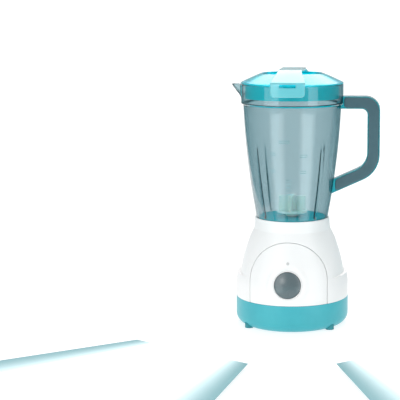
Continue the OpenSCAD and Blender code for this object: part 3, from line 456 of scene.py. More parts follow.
# The same plastic where the mould was eroded: the graduation's marks are milky
frosted_blue = clear("frosted_blue_styrene_marks", *BLUE, body="#8FBEC6", cloud=0.6, rough=0.4)
clear_base = clear("clear_teal_styrene_jug_base", (0.0, 0.88, 0.92), 400, body="#00C8D4",
                   cloud=0.85, rough=0.5, **{"Specular IOR Level": 0.0})
clear_handle = clear("clear_teal_styrene_handle", (0.02, 0.88, 0.92), 160, body="#2CB4BF",
                     cloud=0.45)
clear_lid = clear("clear_teal_styrene_lid", (0.0, 0.985, 0.99), 1700, body="#00F4FC", cloud=0.15,
                  frost=(RIM_Z, 0.92))
clear_strap = clear("pale_teal_styrene_strap", (0.1, 0.85, 0.9), 100, body="#86D9E0", cloud=0.6,
                    rough=0.12, **{"Coat Weight": 0.3, "Coat Roughness": 0.1})

# ---- base ----

ROLL = 0.45                # how far the edges of the shells are rolled


def edge_frame(depth_at, x, z, mx, mz):
    """Point, normal and side (towards mx, mz) on a front surface y = -depth_at(x, z)"""
    h = 0.01
    fx = (depth_at(x + h, z) - depth_at(x - h, z)) / (2 * h)
    fz = (depth_at(x, z + h) - depth_at(x, z - h)) / (2 * h)
    point = np.stack([x, -depth_at(x, z), z], -1)
    normal = np.stack([-fx, -np.ones_like(x), -fz], -1)
    normal /= np.linalg.norm(normal, axis=-1, keepdims=True)
    side = np.stack([mx, np.zeros_like(x), mz], -1)
    side -= (side * normal).sum(-1, keepdims=True) * normal
    length = np.linalg.norm(side, axis=-1, keepdims=True)
    return point, normal, side / np.where(length > 0, length, 1)


def rolled_edge(point, normal, side, depth):
    """Rows of points from a surface round its rolled edge and down to depth"""
    rows = [point + ROLL * ((math.cos(b) - 1) * normal + math.sin(b) * side)
            for b in np.linspace(0, math.pi / 2, 5)]
    return rows + [point + ROLL * side - depth * normal]


def round_front(x, z):
    """The plain skin, as depth in front of the axis"""
    return np.sqrt(np.maximum(skin_at(z) ** 2 - x ** 2, 0))


def build_housing():
    half = ARCH_HALF + SEAM + ROLL
    top = ARCH_MID + half
    lip = 0.4
    low = TRAY_H + lip
    levels = np.concatenate([
        np.linspace(low, SHOULDER_Z, 4), np.linspace(SHOULDER_Z, LEDGE_Z - 0.5, 8)[1:],
        LEDGE_Z + np.array([-0.35, -0.25, -0.15, -0.05, 0.05, 0.15, 0.25, 0.4, 0.8]),
        ARCH_MID + half * np.sin(np.linspace(math.radians(5), math.pi / 2, 44))])
    half_at = np.where(levels < ARCH_MID, half,
                       np.sqrt(np.maximum(half ** 2 - (levels - ARCH_MID) ** 2, 0)))
    s = np.linspace(0, 1, 241)
    lean = np.sign(1 - 2 * s) * np.abs(1 - 2 * s) ** 3

    def ring(r, z, turn):
        return np.stack([r * np.sin(turn), -r * np.cos(turn), np.full_like(turn, z)], -1)

    outer, inner, left, right = [], [], [], []
    for z, x in zip(levels, half_at):
        first = math.asin(x / skin_at(z))
        turn = 2 * math.pi * s + first * lean
        outer.append(ring(housing_at(turn, z), z, turn))
        inner.append(ring(housing_at(turn, z) - SHELL, z, turn))
        for side, rows in ((1, right), (-1, left)):
            if z < ARCH_MID:
                m = (-side, 0)
            else:
                m = (-side * x / half, -(z - ARCH_MID) / half)
            at = [np.array([v], float) for v in (side * x, z, *m)]
            rows.append(np.vstack(rolled_edge(*edge_frame(round_front, *at), SHELL)))
    for row, r_side, l_side in zip(inner, right, left):
        row[0], row[-1] = r_side[-1], l_side[-1]
    # bottom edge, rolled to the inside
    first = math.asin(half / BASE_R)
    turn = 2 * math.pi * s + first * lean
    bottom = [ring(BASE_R - lip * (1 - math.cos(b)), low - lip * math.sin(b), turn)
              for b in np.linspace(math.pi / 2, 0, 5)]
    bottom = [ring(BASE_R - SHELL, TRAY_H, turn)] + bottom
    # above the arch: bell, crease, neck, rim, seat of the jug and deck
    turn = 2 * math.pi * s
    above = [ring(housing_at(turn, z), z, turn) for z in np.linspace(top, CREASE_Z - 0.5, 12)[1:]]
    seat = rounded([(neck_at(CREASE_Z) + 0.2, CREASE_Z - 0.3), (neck_at(CREASE_Z), CREASE_Z + 0.3),
                    (neck_at(NECK_TOP), NECK_TOP, 0.5), (SEAT_R, NECK_TOP, 0.5),
                    (SEAT_R, DECK_TOP, 0.4), (DECK_HOLE_R, DECK_TOP, 0.3),
                    (DECK_HOLE_R, DECK_LOW, 0.2), (bell_at(DECK_LOW) - SHELL, DECK_LOW)])
    above += [ring(r, z, turn) for r, z in seat]
    sheet = np.array(bottom + outer + above + inner[::-1])
    mesh = mesh_of("housing", [sheet, np.array(right), np.array(left)], rings=False)
    place("housing", mesh, white_shell, "base", ["upper_housing"])


def panel_front(x, z):
    """The panel's skin with the flat of the boss let into it"""
    up = (z - BOSS_Z) / math.cos(BOSS_TILT)
    plane = BOSS_OUT - (z - BOSS_Z) * math.tan(BOSS_TILT)
    blend = smooth(BOSS_R - 2.2, BOSS_R + 1.4, np.hypot(x, up))
    return plane * (1 - blend) + round_front(x, z) * blend


def build_panel():
    half = ARCH_HALF - SEAM - ROLL
    low = TRAY_H + 0.1 + ROLL
    arc = np.linspace(0, math.pi, 121)
    side = np.linspace(low, ARCH_MID, 14)[:-1]
    foot = np.linspace(-half, half, 61)[1:-1]
    flat = 0 * side
    x = np.concatenate([foot, flat + half, half * np.cos(arc), flat - half])
    z = np.concatenate([0 * foot + low, side, ARCH_MID + half * np.sin(arc), side[::-1]])
    # the direction outwards, which is down at the two lower corners
    mx = np.concatenate([0 * foot, flat + 1, np.cos(arc), flat - 1])
    mz = np.concatenate([0 * foot - 1, flat, np.sin(arc), flat])
    mz[len(foot)], mz[-1] = -1, -1
    turn = np.arctan2(z - BOSS_Z, x)
    hole = BEZEL_R + 0.1
    hx = hole * np.cos(turn)
    hz = BOSS_Z + hole * np.sin(turn) * math.cos(BOSS_TILT)
    steps = np.concatenate([np.linspace(0, 0.42, 16), np.linspace(0.42, 1, 16)[1:]])
    front, back = [], []
    for t in steps:
        at = (hx + (x - hx) * t, hz + (z - hz) * t)
        point, normal, _ = edge_frame(panel_front, *at, mx, mz)
        front.append(point)
        back.append(point - SHELL * normal)
    edge = rolled_edge(*edge_frame(panel_front, x, z, mx, mz), SHELL)
    sheet = np.array(front + edge[1:] + back[::-1][1:] + [front[0]])
    place("front_panel_shell", mesh_of("front_panel_shell", [sheet]), white_panel, "base",
          ["front_panel"])


build_housing()
build_panel()

bezel = rounded([(BUTTON_R + 0.3, -SHELL, 0), (BEZEL_R, -SHELL, 0), (BEZEL_R, 0.7, 0.35),
                 (BUTTON_R + 0.3, 0.7, 0.3)])
place("bezel_ring", mesh_of("bezel_ring", [on_boss(turned(np.vstack([bezel, bezel[:1]])))]),
      white_shell, "base", ["button_bezel"])

DOME_H, DOME_TOP, CAP_LOW = 2.8, 4.0, -4.2
dome_r = (BUTTON_R ** 2 + DOME_H ** 2) / (2 * DOME_H)
crown = [(r, DOME_TOP - dome_r + math.sqrt(dome_r ** 2 - r ** 2))
         for r in np.linspace(0, BUTTON_R - 1.0, 16)]
cap = np.vstack([crown, rounded([
    (BUTTON_R - 1.0, crown[-1][1], 0), (BUTTON_R, crown[-1][1] - 0.5, 0.6), (BUTTON_R, CAP_LOW, 0),
    (0, CAP_LOW, 0)])])
place("button_cap", mesh_of("button_cap", [on_boss(turned(cap))]), grey_button, "button",
      ["button"])

lens = [(LAMP_R * math.sin(a), 0.25 + 0.5 * math.cos(a)) for a in np.linspace(0, math.pi / 2, 8)]
lens = turned(lens + [(LAMP_R, -4), (0, -4)], 48) + [0, LAMP_UP, 0]
place("lamp_dome", mesh_of("lamp_dome", [on_boss(lens)]), lamp_lens, "base",
      ["status_lamp"])

# ---- jug ----

def spread(step, finer):
    """Angles round the axis every step degrees, closer in the stretches (low, high, step)"""
    marks = set(np.round(np.arange(0, 360, step), 2))
    for low, high, fine in finer:
        marks = {m for m in marks if not low - fine / 2 < m < high + fine / 2}
        marks |= set(np.round(np.arange(low, high + fine / 2, fine), 2))
    return np.radians(sorted(marks))


def blend_max(a, b, k):
    """The larger of two, with the corner between them filled over about k"""
    gap = np.maximum(k - np.abs(a - b), 0) / k
    return np.maximum(a, b) + gap * gap * k / 4


RIBS = (45, 135, 225, 315)
jug_angles = spread(1.8, [(a - 6, a + 6, 0.6) for a in RIBS] + [(150, 210, 0.75)])


def rib_at(angle, z):
    """How far the jug's ribs stand out, from 0 to 1: they end in a taper at RIB_TOP"""
    taper = np.clip((RIB_TOP - z) / RIB_RUN, 0, 1)
    half = RIB_HALF + RIB_GROW * taper
    strength = smooth(0, 0.12, taper) * np.minimum(1, 0.3 + 1.2 * taper)
    total = np.zeros_like(angle)
    for rib in np.radians(RIBS):
        off = np.abs((angle - rib + math.pi) % (2 * math.pi) - math.pi) * jug_at(z)
        total += 0.5 * (1 + np.cos(math.pi * np.clip(off / half, 0, 1)))
    return total * strength


def spout_at(angle, reach, lift, z):
    """Radius of the spout's V, which a slanting underside ends below"""
    off = np.clip(np.abs(angle - math.pi), 0, math.radians(60))
    across = np.sqrt(np.sin(off) ** 2 + 0.0009) - 0.03
    side = reach / (np.cos(off) + across)
    under = (SPOUT_LOW[0] + (z - lift - SPOUT_LOW[1]) * SPOUT_RUN / SPOUT_RISE) / np.cos(off)
    return np.minimum(side, under)


def jug_outside(angle, z):
    if z <= COLLAR_Z:
        wall = jug_at(z) - RIB_DENT * rib_at(angle, z)
    else:
        part = min(1, (z - COLLAR_Z) / STEP_H)
        wall = np.full_like(angle, JUG_TOP_R + (COLLAR_R - JUG_TOP_R) * part)
    return blend_max(wall, spout_at(angle, SPOUT_R, 0, z), 1.6)


def jug_inside(angle, z):
    fade = smooth(FLOOR_Z + 0.2, FLOOR_Z + 3, z)
    if z <= COLLAR_Z:
        wall = jug_at(z) - JUG_WALL - RIB_RIDGE * rib_at(angle, z) * fade
    else:
        part = min(1, (z - COLLAR_Z) / (STEP_H + 1))
        wall = np.full_like(angle, JUG_TOP_R - JUG_WALL + (COLLAR_R - JUG_TOP_R) * part)
    return blend_max(wall, spout_at(angle, SPOUT_R - SPOUT_T, SPOUT_T, z), 1.0)


def build_jug():
    def ring(r, z):
        return np.stack([r * np.cos(jug_angles), r * np.sin(jug_angles), np.full_like(r, z)], -1)

    outside = np.concatenate([
        WALL_Z + np.array([0.5, 1.5, 3]), np.linspace(WALL_Z + 5, RIB_TOP, 34),
        np.linspace(RIB_TOP, COLLAR_Z - 1, 14)[1:],
        COLLAR_Z + np.array([-0.4, 0, 0.4, 0.8, 1.2, 1.6, 2]),
        np.linspace(COLLAR_Z + 3, RIM_Z - RIM_EDGE, 22)])
    inside = np.concatenate([
        WALL_Z + np.array([0.5, 2, 2.6, 3.2, 4, 5]), np.linspace(WALL_Z + 7, RIB_TOP, 32),
        np.linspace(RIB_TOP, COLLAR_Z - 1, 14)[1:], COLLAR_Z + np.array([0, 0.6, 1.3, 2, 2.6, 3.2]),
        np.linspace(COLLAR_Z + 4, RIM_Z - RIM_EDGE, 22)])
    lip = np.linspace(0, math.pi / 2, 5)[1:]
    rows = [ring(jug_inside(jug_angles, WALL_Z + 0.5) + 0.3, WALL_Z),
            ring(jug_outside(jug_angles, WALL_Z + 0.5) - 0.3, WALL_Z)]
    rows += [ring(jug_outside(jug_angles, z), z) for z in outside]
    rows += [ring(jug_outside(jug_angles, RIM_Z) - RIM_EDGE * (1 - math.cos(b)),
                  RIM_Z - RIM_EDGE + RIM_EDGE * math.sin(b)) for b in lip]
    rows += [ring(jug_inside(jug_angles, RIM_Z) + RIM_EDGE * (1 - math.cos(b)),
                  RIM_Z - RIM_EDGE + RIM_EDGE * math.sin(b)) for b in lip[::-1]]
    rows += [ring(jug_inside(jug_angles, z), z) for z in inside[::-1]]
    rows.append(rows[0])
    mesh = mesh_of("jug_wall", [np.array(rows)], sharp=40)
    place("jug_wall", mesh, clear_blue, "jug", ["jug"])


build_jug()

# ---- handle ----

def low_corner(d):
    """The point at distance d outwards from where the grip's line meets the lower arm's"""
    n1 = np.array([1, 0])
    n2 = np.array([math.sin(SLOPE), -math.cos(SLOPE)])
    return np.array([GRIP_X, BEND_Z]) + d * (n1 + n2) / (1 + n1 @ n2)


def low_arm(x, d):
    """Height of the lower arm's edge, d below its centre line, at x"""
    px = GRIP_X + d * math.sin(SLOPE)
    pz = BEND_Z - d * math.cos(SLOPE)
    return pz - (px - x) * math.tan(SLOPE)


def jug_x(z, y):
    """Where the handle meets the jug's outside"""
    r = np.where(z > COLLAR_Z - 0.3, COLLAR_R, jug_at(z)) + 0.3
    return np.sqrt(r * r - y * y)


def handle_ring(inset, y, ends=None):
    """The handle's outline drawn in by inset. ends are where its two rounded ends lie; without them
    it ends on the jug."""
    h = HANDLE_W / 2 - inset
    cross = np.linspace(-h, h, 9)
    if ends:
        beyond = np.maximum(0, np.abs(cross) - h + END_R)
        soft = END_R - np.sqrt(np.maximum(0, END_R ** 2 - beyond ** 2))
        top = [(ends[0] + s, ARM_Z + d) for d, s in zip(cross, soft)]
        low = [(ends[1] + s, low_arm(ends[1] + s, d)) for d, s in zip(cross[::-1], soft)]
    else:
        top = [(float(jug_x(ARM_Z + d, y)), ARM_Z + d) for d in cross]
        low = []
        for d in cross[::-1]:
            x = LOW_ARM_X
            for _ in range(12):
                x = float(jug_x(low_arm(x, d), y))
            low.append((x, low_arm(x, d)))
    outer, inner = low_corner(h), low_corner(-h)
    line = rounded([*top, (GRIP_X + h, ARM_Z + h, OUTER_TOP_R - inset),
                    (*outer, OUTER_LOW_R - inset), *low, (*inner, INNER_LOW_R + inset),
                    (GRIP_X - h, ARM_Z - h, INNER_TOP_R + inset)], steps=14)
    return np.stack([line[:, 0], np.full(len(line), y), line[:, 1]], -1)


COVER_ENDS = (COLLAR_R + 1.0, JUG_FOOT_R + 7.8)
COVER_IN = 1.2
COVER_GAP = 0.03
COVER_ROLL = 0.9
POCKET_Y = FRAME_T / 2 - 1.5


def build_handle():
    half, round_r = FRAME_T / 2, 1.0
    pocket = [(0.3, -POCKET_Y), (0, -POCKET_Y), (0, -half + 0.1), (-0.1, -half)]
    front = [handle_ring(COVER_IN + i, y, COVER_ENDS) for i, y in pocket]
    front += [handle_ring(round_r * (1 - math.sin(b)), -half + round_r * (1 - math.cos(b)))
              for b in np.linspace(0, math.pi / 2, 6)]
    middle = [handle_ring(0, y) for y in np.linspace(-half + round_r, 0, 5)[1:]]
    rows = front + middle
    rows += [r * [1, -1, 1] for r in rows[::-1][1:]]
    mesh = mesh_of("handle_frame_clear", [np.array(rows)], sharp=40)
    place("handle_frame_clear", mesh, clear_handle, "jug", ["handle_frame"])
    for side, name in ((-1, "front"), (1, "back")):
        deep, top = POCKET_Y + COVER_GAP, half + 1.0
        side_top = top - 1.15
        rows = [handle_ring(COVER_IN + 0.4, deep, COVER_ENDS)]
        insets = [(COVER_GAP, deep), (COVER_GAP, side_top)]
        insets += [(COVER_GAP + COVER_ROLL * (1 - math.cos(b)), side_top + COVER_ROLL * math.sin(b))
                   for b in np.linspace(0, math.pi / 2, 6)[1:]]
        insets += [(1.4, top - 0.18), (2.2, top - 0.08), (3.4, top - 0.02), (4.2, top), (4.5, top)]
        rows += [handle_ring(COVER_IN + i, y, [e + i for e in COVER_ENDS]) for i, y in insets]
        sheet = np.array(rows) * [1, side, 1]
        mesh = mesh_of(f"handle_insert_{name}", [sheet], sharp=40)
        place(f"handle_insert_{name}", mesh, slate_cover, "jug",
              [f"handle_cover_{name}"])


build_handle()

# The ends of the two lugs that carry the handle show inside the jug
LUG_HALF, LUG_IN = 4.0, 2.2
for name, middle, half in (("top", ARM_Z - 2.75, 3.5), ("low", low_arm(LOW_ARM_X, 0), 6.0)):
    wall = float(jug_at(min(middle, COLLAR_Z))) - JUG_WALL
    lug = block((wall - LUG_IN, -LUG_HALF, middle - half), (wall + 1.2, LUG_HALF, middle + half),
                0.5)
    place(f"handle_lug_{name}", lug, clear_handle, "jug")

# ---- lid and strap ----

slope_r = np.linspace(COLLAR_R - 0.25, CREST_R, 24)
under_r = np.linspace(RECESS_R + LID_T, SKIRT_R - LID_T, 16)
lid_line = np.vstack([
    rounded([(SKIRT_R - LID_T, SKIRT_Z, 0.4), (SKIRT_R, SKIRT_Z, 0.6), (SKIRT_R, RIM_Z + 0.3, 0.4),
             (COLLAR_R, RIM_Z + 0.3, 0.4), (COLLAR_R, LID_EDGE_Z - 0.1, 0.35),
             (COLLAR_R - 1, float(lid_at(COLLAR_R - 1)), 0),
             (SKIRT_R - LID_T, LID_EDGE_Z, 0)])[:-2],
    np.stack([slope_r, lid_at(slope_r)], -1)[2:],
    rounded([(CREST_R + 0.2, LID_TOP - 0.01, 0), (RECESS_R, LID_TOP, 0.35),
             (RECESS_R - 0.6, RECESS_Z, 1.2), (0, RECESS_Z, 0), (0, RECESS_Z - LID_T, 0),
             (RECESS_R - 0.6 + LID_T, RECESS_Z - LID_T, 1.0)])[1:],
    np.stack([under_r, lid_at(under_r) - LID_T], -1)])
lid_line = np.vstack([lid_line, lid_line[:1]])
place("lid_shell", mesh_of("lid_shell", [turned(lid_line, 240)], sharp=40), clear_lid, "lid",
      ["lid"])


def strap_half(y):
    """Half of the strap's width at a distance from the middle"""
    return STRAP_HALF + (TAB_HALF - STRAP_HALF) * smooth(26, 51, np.abs(y))


def build_strap():
    cone = np.linspace(STRAP_DOWN_R, COLLAR_R - 0.3, 16)
    line = rounded([(0, STRAP_TOP, 0), (CREST_R - 4, STRAP_TOP, 6)] +
                   [(r + 0.8, float(lid_at(r)) + STRAP_GAP + STRAP_T, 0) for r in cone] +
                   [(TAB_R, LID_EDGE_Z + 1.85, STRAP_FOLD_R), (TAB_R, TAB_LOW, 0)], steps=6)
    # even steps along the line, closer at its end
    length = np.concatenate([[0], np.cumsum(np.linalg.norm(np.diff(line, axis=0), axis=1))])
    total = length[-1]
    along = np.concatenate([np.linspace(0, total - 3, 70),
                            total - np.array([2, 1.2, 0.7, 0.35, 0.12, 0])])
    r_at = np.interp(along, length, line[:, 0])
    z_at = np.interp(along, length, line[:, 1])
    tangent = np.stack([np.gradient(r_at, along), np.gradient(z_at, along)], -1)
    tangent /= np.linalg.norm(tangent, axis=1, keepdims=True)
    edge, corner = 0.7, 4.0
    rows = []
    for r, z, t, gone in zip(r_at, z_at, tangent, along):
        bend = smooth(6, 29, r)
        left = total - gone
        trim = corner - math.sqrt(max(0, corner ** 2 - max(0, corner - left) ** 2))
        thin = edge - math.sqrt(max(0, edge ** 2 - max(0, edge - left) ** 2))
        half = 14.0
        for _ in range(6):
            half = float(strap_half(math.sqrt(max(r * r - bend * half * half, 0))))
        half -= trim
        low = -STRAP_T + thin
        loop = rounded([(-half, -thin, edge), (half, -thin, edge), (half, low, edge * 0.999),
                        (-half, low, edge * 0.999)], steps=4)
        # more points across the two faces, so that they follow the round lid
        pts = []
        corners = loop.reshape(4, 5, 2)
        for i in range(4):
            pts.extend(corners[i])
            if i % 2 == 0:
                a, b = corners[i][-1], corners[(i + 1) % 4][0]
                pts.extend(a + (b - a) * f for f in np.linspace(0, 1, 20)[1:-1])
        x, d = np.array(pts).T
        y = np.sqrt(np.maximum(r * r - bend * x * x, 0))
        real = np.maximum(np.hypot(x, y), 1e-6)
        # d is measured along the line's normal, which leans outwards from the axis
        px = x + x / real * bend * -t[1] * d
        py = -y + (-y / real * bend - (1 - bend)) * -t[1] * d
        rows.append(np.stack([px, py, z + t[0] * d], -1))
    front = np.array(rows)
    back = front * [1, -1, 1]
    mesh = mesh_of("strap", [np.concatenate([front[::-1], back[1:]])], sharp=40)
    slots = [block((-SLOT_HALF, y - 5, SLOT_LOW), (SLOT_HALF, y + 5, SLOT_TOP), 0.8)
             for y in (-55, 55)]
    place("lid_bridge", cut_by(mesh, slots), clear_strap, "lid", ["lid_strap"])


build_strap()

# ---- pieces that repeat ----

def new_tree(name, inputs):
    """A Geometry Nodes tree with named inputs, and its input and output nodes"""
    tree = bpy.data.node_groups.new(name, "GeometryNodeTree")
    for label, kind in [("Geometry", "Geometry")] + inputs:
        tree.interface.new_socket(label, in_out="INPUT", socket_type="NodeSocket" + kind)
    tree.interface.new_socket("Geometry", in_out="OUTPUT", socket_type="NodeSocketGeometry")
    return tree, tree.nodes.new("NodeGroupInput"), tree.nodes.new("NodeGroupOutput")


def finish_tree(tree, geometry, finish, output):
    """Ends a tree: the copies become real and get their material"""
    real = add_node(tree, "GeometryNodeRealizeInstances", {"Geometry": geometry})
    done = add_node(tree, "GeometryNodeSetMaterial", {"Geometry": real.outputs[0],
                                                      "Material": finish})
    tree.links.new(done.outputs[0], output.inputs[0])


def copies_tree():
    """Copies of a piece turned about the upright axis"""
    tree, given, output = new_tree("copies_round_axis", [
        ("Piece", "Object"), ("Copies", "Int"), ("Finish", "Material")])
    points = add_node(tree, "GeometryNodeMeshLine", {"Count": given.outputs["Copies"],
                                                     "Offset": (0, 0, 0)})
    turn = add_node(tree, "ShaderNodeMath", {0: math.tau, 1: given.outputs["Copies"]},
                    operation="DIVIDE")
    index = add_node(tree, "GeometryNodeInputIndex")
    angle = add_node(tree, "ShaderNodeMath", {0: index.outputs[0], 1: turn.outputs[0]},
                     operation="MULTIPLY")
    axis = add_node(tree, "ShaderNodeCombineXYZ", {"Z": angle.outputs[0]})
    piece = add_node(tree, "GeometryNodeObjectInfo", {"Object": given.outputs["Piece"],
                                                      "As Instance": True})
    copies = add_node(tree, "GeometryNodeInstanceOnPoints",
                      {"Points": points.outputs[0], "Instance": piece.outputs["Geometry"],
                       "Rotation": axis.outputs[0]})
    finish_tree(tree, copies.outputs[0], given.outputs["Finish"], output)
    return tree


def ticks_tree():
    """Short rounded bars one above another"""
    tree, given, output = new_tree("graduation_bars", [
        ("Count", "Int"), ("Start", "Vector"), ("Pitch", "Vector"), ("Length", "Float"),
        ("Radius", "Float"), ("Finish", "Material")])
    points = add_node(tree, "GeometryNodeMeshLine", {"Count": given.outputs["Count"],
                                                     "Start Location": given.outputs["Start"],
                                                     "Offset": given.outputs["Pitch"]})
    ends = []
    for share in (-0.5, 0.5):
        half = add_node(tree, "ShaderNodeMath", {0: given.outputs["Length"], 1: share},
                        operation="MULTIPLY")
        ends.append(add_node(tree, "ShaderNodeCombineXYZ", {"X": half.outputs[0]}).outputs[0])
    bar = add_node(tree, "GeometryNodeCurvePrimitiveLine", {"Start": ends[0], "End": ends[1]})
    round_bar = add_node(tree, "GeometryNodeCurvePrimitiveCircle",
                         {"Resolution": 10, "Radius": given.outputs["Radius"]})
    solid = add_node(tree, "GeometryNodeCurveToMesh", {"Curve": bar.outputs[0],
                                                       "Profile Curve": round_bar.outputs[0],
                                                       "Fill Caps": True})
    copies = add_node(tree, "GeometryNodeInstanceOnPoints", {"Points": points.outputs[0],
                                                             "Instance": solid.outputs[0]})
    finish_tree(tree, copies.outputs[0], given.outputs["Finish"], output)
    return tree


def grown(name, tree, values):
    """Runs a tree with its inputs set and gives the result as a plain mesh"""
    holder = new_object(name, bpy.data.meshes.new(name))
    step = holder.modifiers.new("grow", "NODES")
    step.node_group = tree
    for item in tree.interface.items_tree:
        if item.in_out == "INPUT" and item.name in values:
            step[item.identifier] = values[item.name]
    depsgraph = bpy.context.evaluated_depsgraph_get()
    mesh = bpy.data.meshes.new_from_object(holder.evaluated_get(depsgraph))
    bpy.data.objects.remove(holder)
    return mesh


def copies(name, mesh, count, finish):
    """A mesh repeated round the upright axis"""
    pattern = new_object("pattern", mesh)
    result = grown(name, COPIES, {"Piece": pattern, "Copies": count, "Finish": finish})
    bpy.data.objects.remove(pattern)
    return result


COPIES = copies_tree()
TICKS = ticks_tree()

KEY_R, KEY_HALF = 30.3, 2
key = block((KEY_R, -KEY_HALF, DECK_TOP - 0.3), (SEAT_R + 0.3, KEY_HALF, CREASE_Z), 0.5)
place("seat_keys", copies("seat_keys", key, 4, white_shell), white_shell, "base")

STEM_R, DISC_R, HUB_R, PADDLE_R, PADDLE_HALF = 6.6, 15.2, 3.8, 13.5, 0.9
STEM_LOW, DISC_LOW, DISC_TOP, HUB_TOP = [FLOOR_Z + h for h in (0.4, 4, 6, 21.7)]
hub = rounded([(0, STEM_LOW, 0), (STEM_R, STEM_LOW, 0.3), (STEM_R, DISC_LOW, 0.2),
               (DISC_R, DISC_LOW, 0.5), (DISC_R, DISC_TOP, 0.6), (HUB_R, DISC_TOP, 0.8),
               (HUB_R, HUB_TOP, 0.9), (0, HUB_TOP, 0)])
place("impeller_hub", mesh_of("impeller_hub", [turned(hub, 120)]), mint_impeller, "impeller",
      ["impeller"])
paddle = block((HUB_R - 0.6, -PADDLE_HALF, DISC_TOP - 0.3), (PADDLE_R, PADDLE_HALF, HUB_TOP - 1),
               0.6)
place("impeller_paddles", copies("impeller_paddles", paddle, 4, mint_impeller), mint_impeller,
      "impeller")

# The graduation: a ladder of bars at the front, and short rows of bars beside it and above it.
# Each row: its name, turn from the front in degrees, lowest and highest bar, bars and their length
TICK_ROWS = [("ladder", 0, 137.0, 151.0, 5, 5.0), ("top", -4.5, 188.0, 190.0, 2, 11.0),
             ("left_high", -19, 176.0, 178.0, 2, 6.0), ("right_high", 19, 174.0, 176.0, 2, 7.5),
             ("left_low", -20, 159.0, 161.0, 2, 5.0), ("right_low", 19, 158.0, 160.0, 2, 6.5)]
for name, turn, low, high, count, length in TICK_ROWS:
    y_low, y_high = [0.05 - float(jug_at(z)) for z in (low, high)]
    bars = grown(name, TICKS, {
        "Count": count, "Start": (0, y_low * MM, low * MM),
        "Pitch": (0, (y_high - y_low) / (count - 1) * MM, (high - low) / (count - 1) * MM),
        "Length": length * MM, "Radius": 0.3 * MM, "Finish": frosted_blue})
    bars.transform(Matrix.Rotation(math.radians(turn), 4, "Z"))
    close_up(bars, 60)
    place(f"graduation_{name}", bars, frosted_blue, "jug")

# ---- finishes of the pieces that come as they are ----

AS_THEY_ARE = {
    "lower_tray": teal_tray, "battery_door": teal_tray, "foot_pads": foot_rubber,
    "housing_screws": plated_steel, "board_screws": plated_steel, "door_screw": plated_steel,
    "gearbox_screws": plated_steel, "button_spring": spring_wire, "circuit_board": board_lacquer,
    "push_switch": switch_black, "internal_wires": lead_red, "battery_cells": cell_film,
    "battery_contacts": nickel, "motor": motor_can, "motor_pinion": pinion_brass,
    "gearbox_plate": gearbox_white, "gearbox_cover": gearbox_white, "drive_gear": gear_nylon,
    "drive_shaft": shaft_steel, "impeller_shaft": shaft_steel, "shaft_bush": bush_brass,
    "jug_bush": bush_brass, "drive_coupling": dog_teal, "driven_coupling": dog_teal,
    "shaft_seal": seal_rubber, "jug_base": clear_base}
for node, finish in AS_THEY_ARE.items():
    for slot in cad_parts[node].material_slots:
        slot.material = finish

# ---- floor, light and camera ----

# Opal acrylic table, lit softly from below as for product shots: pure white, hardly any shadow
table_top = moulded("opal_acrylic_table", "#A4A4A4", "#A0A0A0", 0.85, grain=1.5, depth=0.01,
                    drift=200, **{"Emission Color": (1, 1, 1, 1), "Emission Strength": 0.75})
# Teal cloth round the table: the clear plastic's edges take its darker colour
CLOTH = "#86B0B7"
teal_cloth = moulded("teal_studio_cloth", CLOTH, "#82ADB4", 0.9, grain=2.0, depth=0.1, drift=300)


GLOW_FULL, GLOW_END = 0.12, 0.4


def glow_panel(name, strength):
    """A light panel that is a sector round the object: even up to GLOW_FULL radians from its
    middle, then fading to nothing at GLOW_END"""
    material, tree, place_on = new_material(name)
    axes = add_node(tree, "ShaderNodeSeparateXYZ", {"Vector": place_on})
    ahead = add_node(tree, "ShaderNodeMath", {0: axes.outputs["Y"], 1: -1.0}, operation="MULTIPLY")
    angle = add_node(tree, "ShaderNodeMath", {0: axes.outputs["X"], 1: ahead.outputs[0]},
                     operation="ARCTAN2")
    off = add_node(tree, "ShaderNodeMath", {0: angle.outputs[0]}, operation="ABSOLUTE")
    # the diffuser's weave varies the light a little
    weave = add_node(tree, "ShaderNodeTexNoise", {"Vector": place_on, "Scale": 40.0, "Detail": 2.0})
    level = add_node(tree, "ShaderNodeMapRange", {
        "Value": weave.outputs[0], "To Min": strength * 0.95, "To Max": strength * 1.05})
    glow = add_node(tree, "ShaderNodeMapRange",
                    {"Value": off.outputs[0], "From Min": GLOW_END, "From Max": GLOW_FULL,
                     "To Min": 0.0, "To Max": level.outputs[0]}, interpolation_type="SMOOTHSTEP")
    surface = add_node(tree, "ShaderNodeBsdfPrincipled",
                       {"Base Color": linear(CLOTH), "Roughness": 0.8,
                        "Emission Color": (1, 1, 1, 1), "Emission Strength": glow.outputs[0]})
    add_node(tree, "ShaderNodeOutputMaterial", {"Surface": surface.outputs[0]})
    return material


def ground(name, corners, height, finish, turn=0):
    """A flat piece of the set"""
    mesh = bpy.data.meshes.new(name)
    mesh.from_pydata([(x, y, height) for x, y in corners], [], [(0, 1, 2, 3)])
    piece = new_object(name, mesh)
    piece.rotation_euler.z = math.radians(turn)
    mesh.materials.append(finish)


# the table is as wide as the picture, so it widens away from the camera
ground("table", [(-0.21, -0.33), (0.15, -0.33), (5.6, 150), (-54, 150)], 0, table_top)
ground("cloth", [(-80, -60), (80, -60), (80, 150), (-80, 150)], -0.002, teal_cloth)
# Two light panels that lie in front of the table at both sides: the jug's wall leans over them, and
# they are the upright bands of light on it
PANEL_NEAR, PANEL_FAR = 0.16, 1.15
near_half, far_half = PANEL_NEAR * math.tan(GLOW_END), PANEL_FAR * math.tan(GLOW_END)
for side, turn, strength in (("left", -31, 1.9), ("right", 41, 2.1)):
    ground(f"{side}_panel", [(-near_half, -PANEL_NEAR), (near_half, -PANEL_NEAR),
                             (far_half, -PANEL_FAR), (-far_half, -PANEL_FAR)],
           0.004, glow_panel(f"{side}_acrylic_panel", strength), turn)


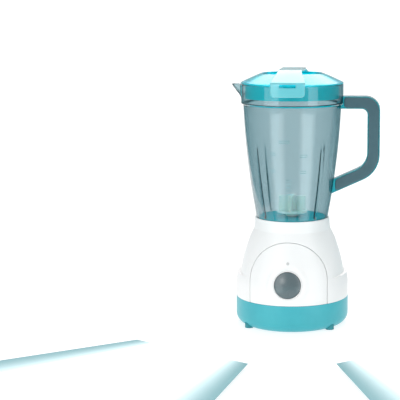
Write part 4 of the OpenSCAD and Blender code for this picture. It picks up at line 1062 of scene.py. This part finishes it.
def towards(turn, up):
    """The direction from the object that is turned from the front and up from level, in degrees"""
    turn, up = math.radians(turn), math.radians(up)
    return Vector((math.sin(turn) * math.cos(up), -math.cos(turn) * math.cos(up), math.sin(up)))


BOX_AWAY = 1.8
BOX_AIM = Vector((0, 0, 0.13))


def softbox(name, turn, up, size, power):
    """A large soft light that faces the object"""
    back = towards(turn, up)
    light = bpy.data.lights.new(name, "AREA")
    light.shape = "RECTANGLE"
    light.size, light.size_y = size
    light.energy = power
    # a little warm, against the teal that the cloth sends back
    light.color = (1, 0.975, 0.965)
    lamp = new_object(name, light)
    lamp.location = BOX_AIM + back * BOX_AWAY
    lamp.rotation_euler = back.to_track_quat("Z", "Y").to_euler()


softbox("key_box", -22, 19, (0.45, 0.5), 2.6)
softbox("left_box", -42, 22, (1.2, 1.9), 10.3)
softbox("right_box", 52, 20, (0.8, 1.9), 7.6)

world = bpy.data.worlds.new("studio")
scene = bpy.context.scene
scene.world = world
world.use_nodes = True
sky = world.node_tree
direction = add_node(sky, "ShaderNodeTexCoord").outputs["Generated"]
# The room is dim, with a soft round glow high behind the toy, which the lid's slope mirrors. It
# starts to fade 8 degrees from its middle and ends at 32.
ROOM, GLOW = 0.53, 4.0
near = add_node(sky, "ShaderNodeVectorMath", {0: direction, 1: towards(180, 47)},
                operation="DOT_PRODUCT")
glow = add_node(sky, "ShaderNodeMapRange", {
    "Value": near.outputs["Value"], "From Min": math.cos(math.radians(32)),
    "From Max": math.cos(math.radians(8)), "To Min": ROOM, "To Max": ROOM + GLOW},
    interpolation_type="SMOOTHSTEP")
sky.nodes["Background"].inputs["Color"].default_value = (1, 1, 1, 1)
sky.links.new(glow.outputs[0], sky.nodes["Background"].inputs["Strength"])

# The photo's viewpoint: 1.25 m away, 9 degrees down and turned by 5
view = bpy.data.cameras.new("camera")
view.lens = 112.5
view.sensor_width = 36
view.shift_x = -0.2304
view.clip_start = 0.05
view.clip_end = 200
camera = new_object("camera", view)
camera.location = (0.1089, -1.2452, 0.3286)
camera.rotation_euler = (math.radians(90 - 9.26), 0, math.radians(5))
scene.camera = camera
scene.view_settings.view_transform = "Standard"
scene.cycles.max_bounces = 24
scene.cycles.transmission_bounces = 24
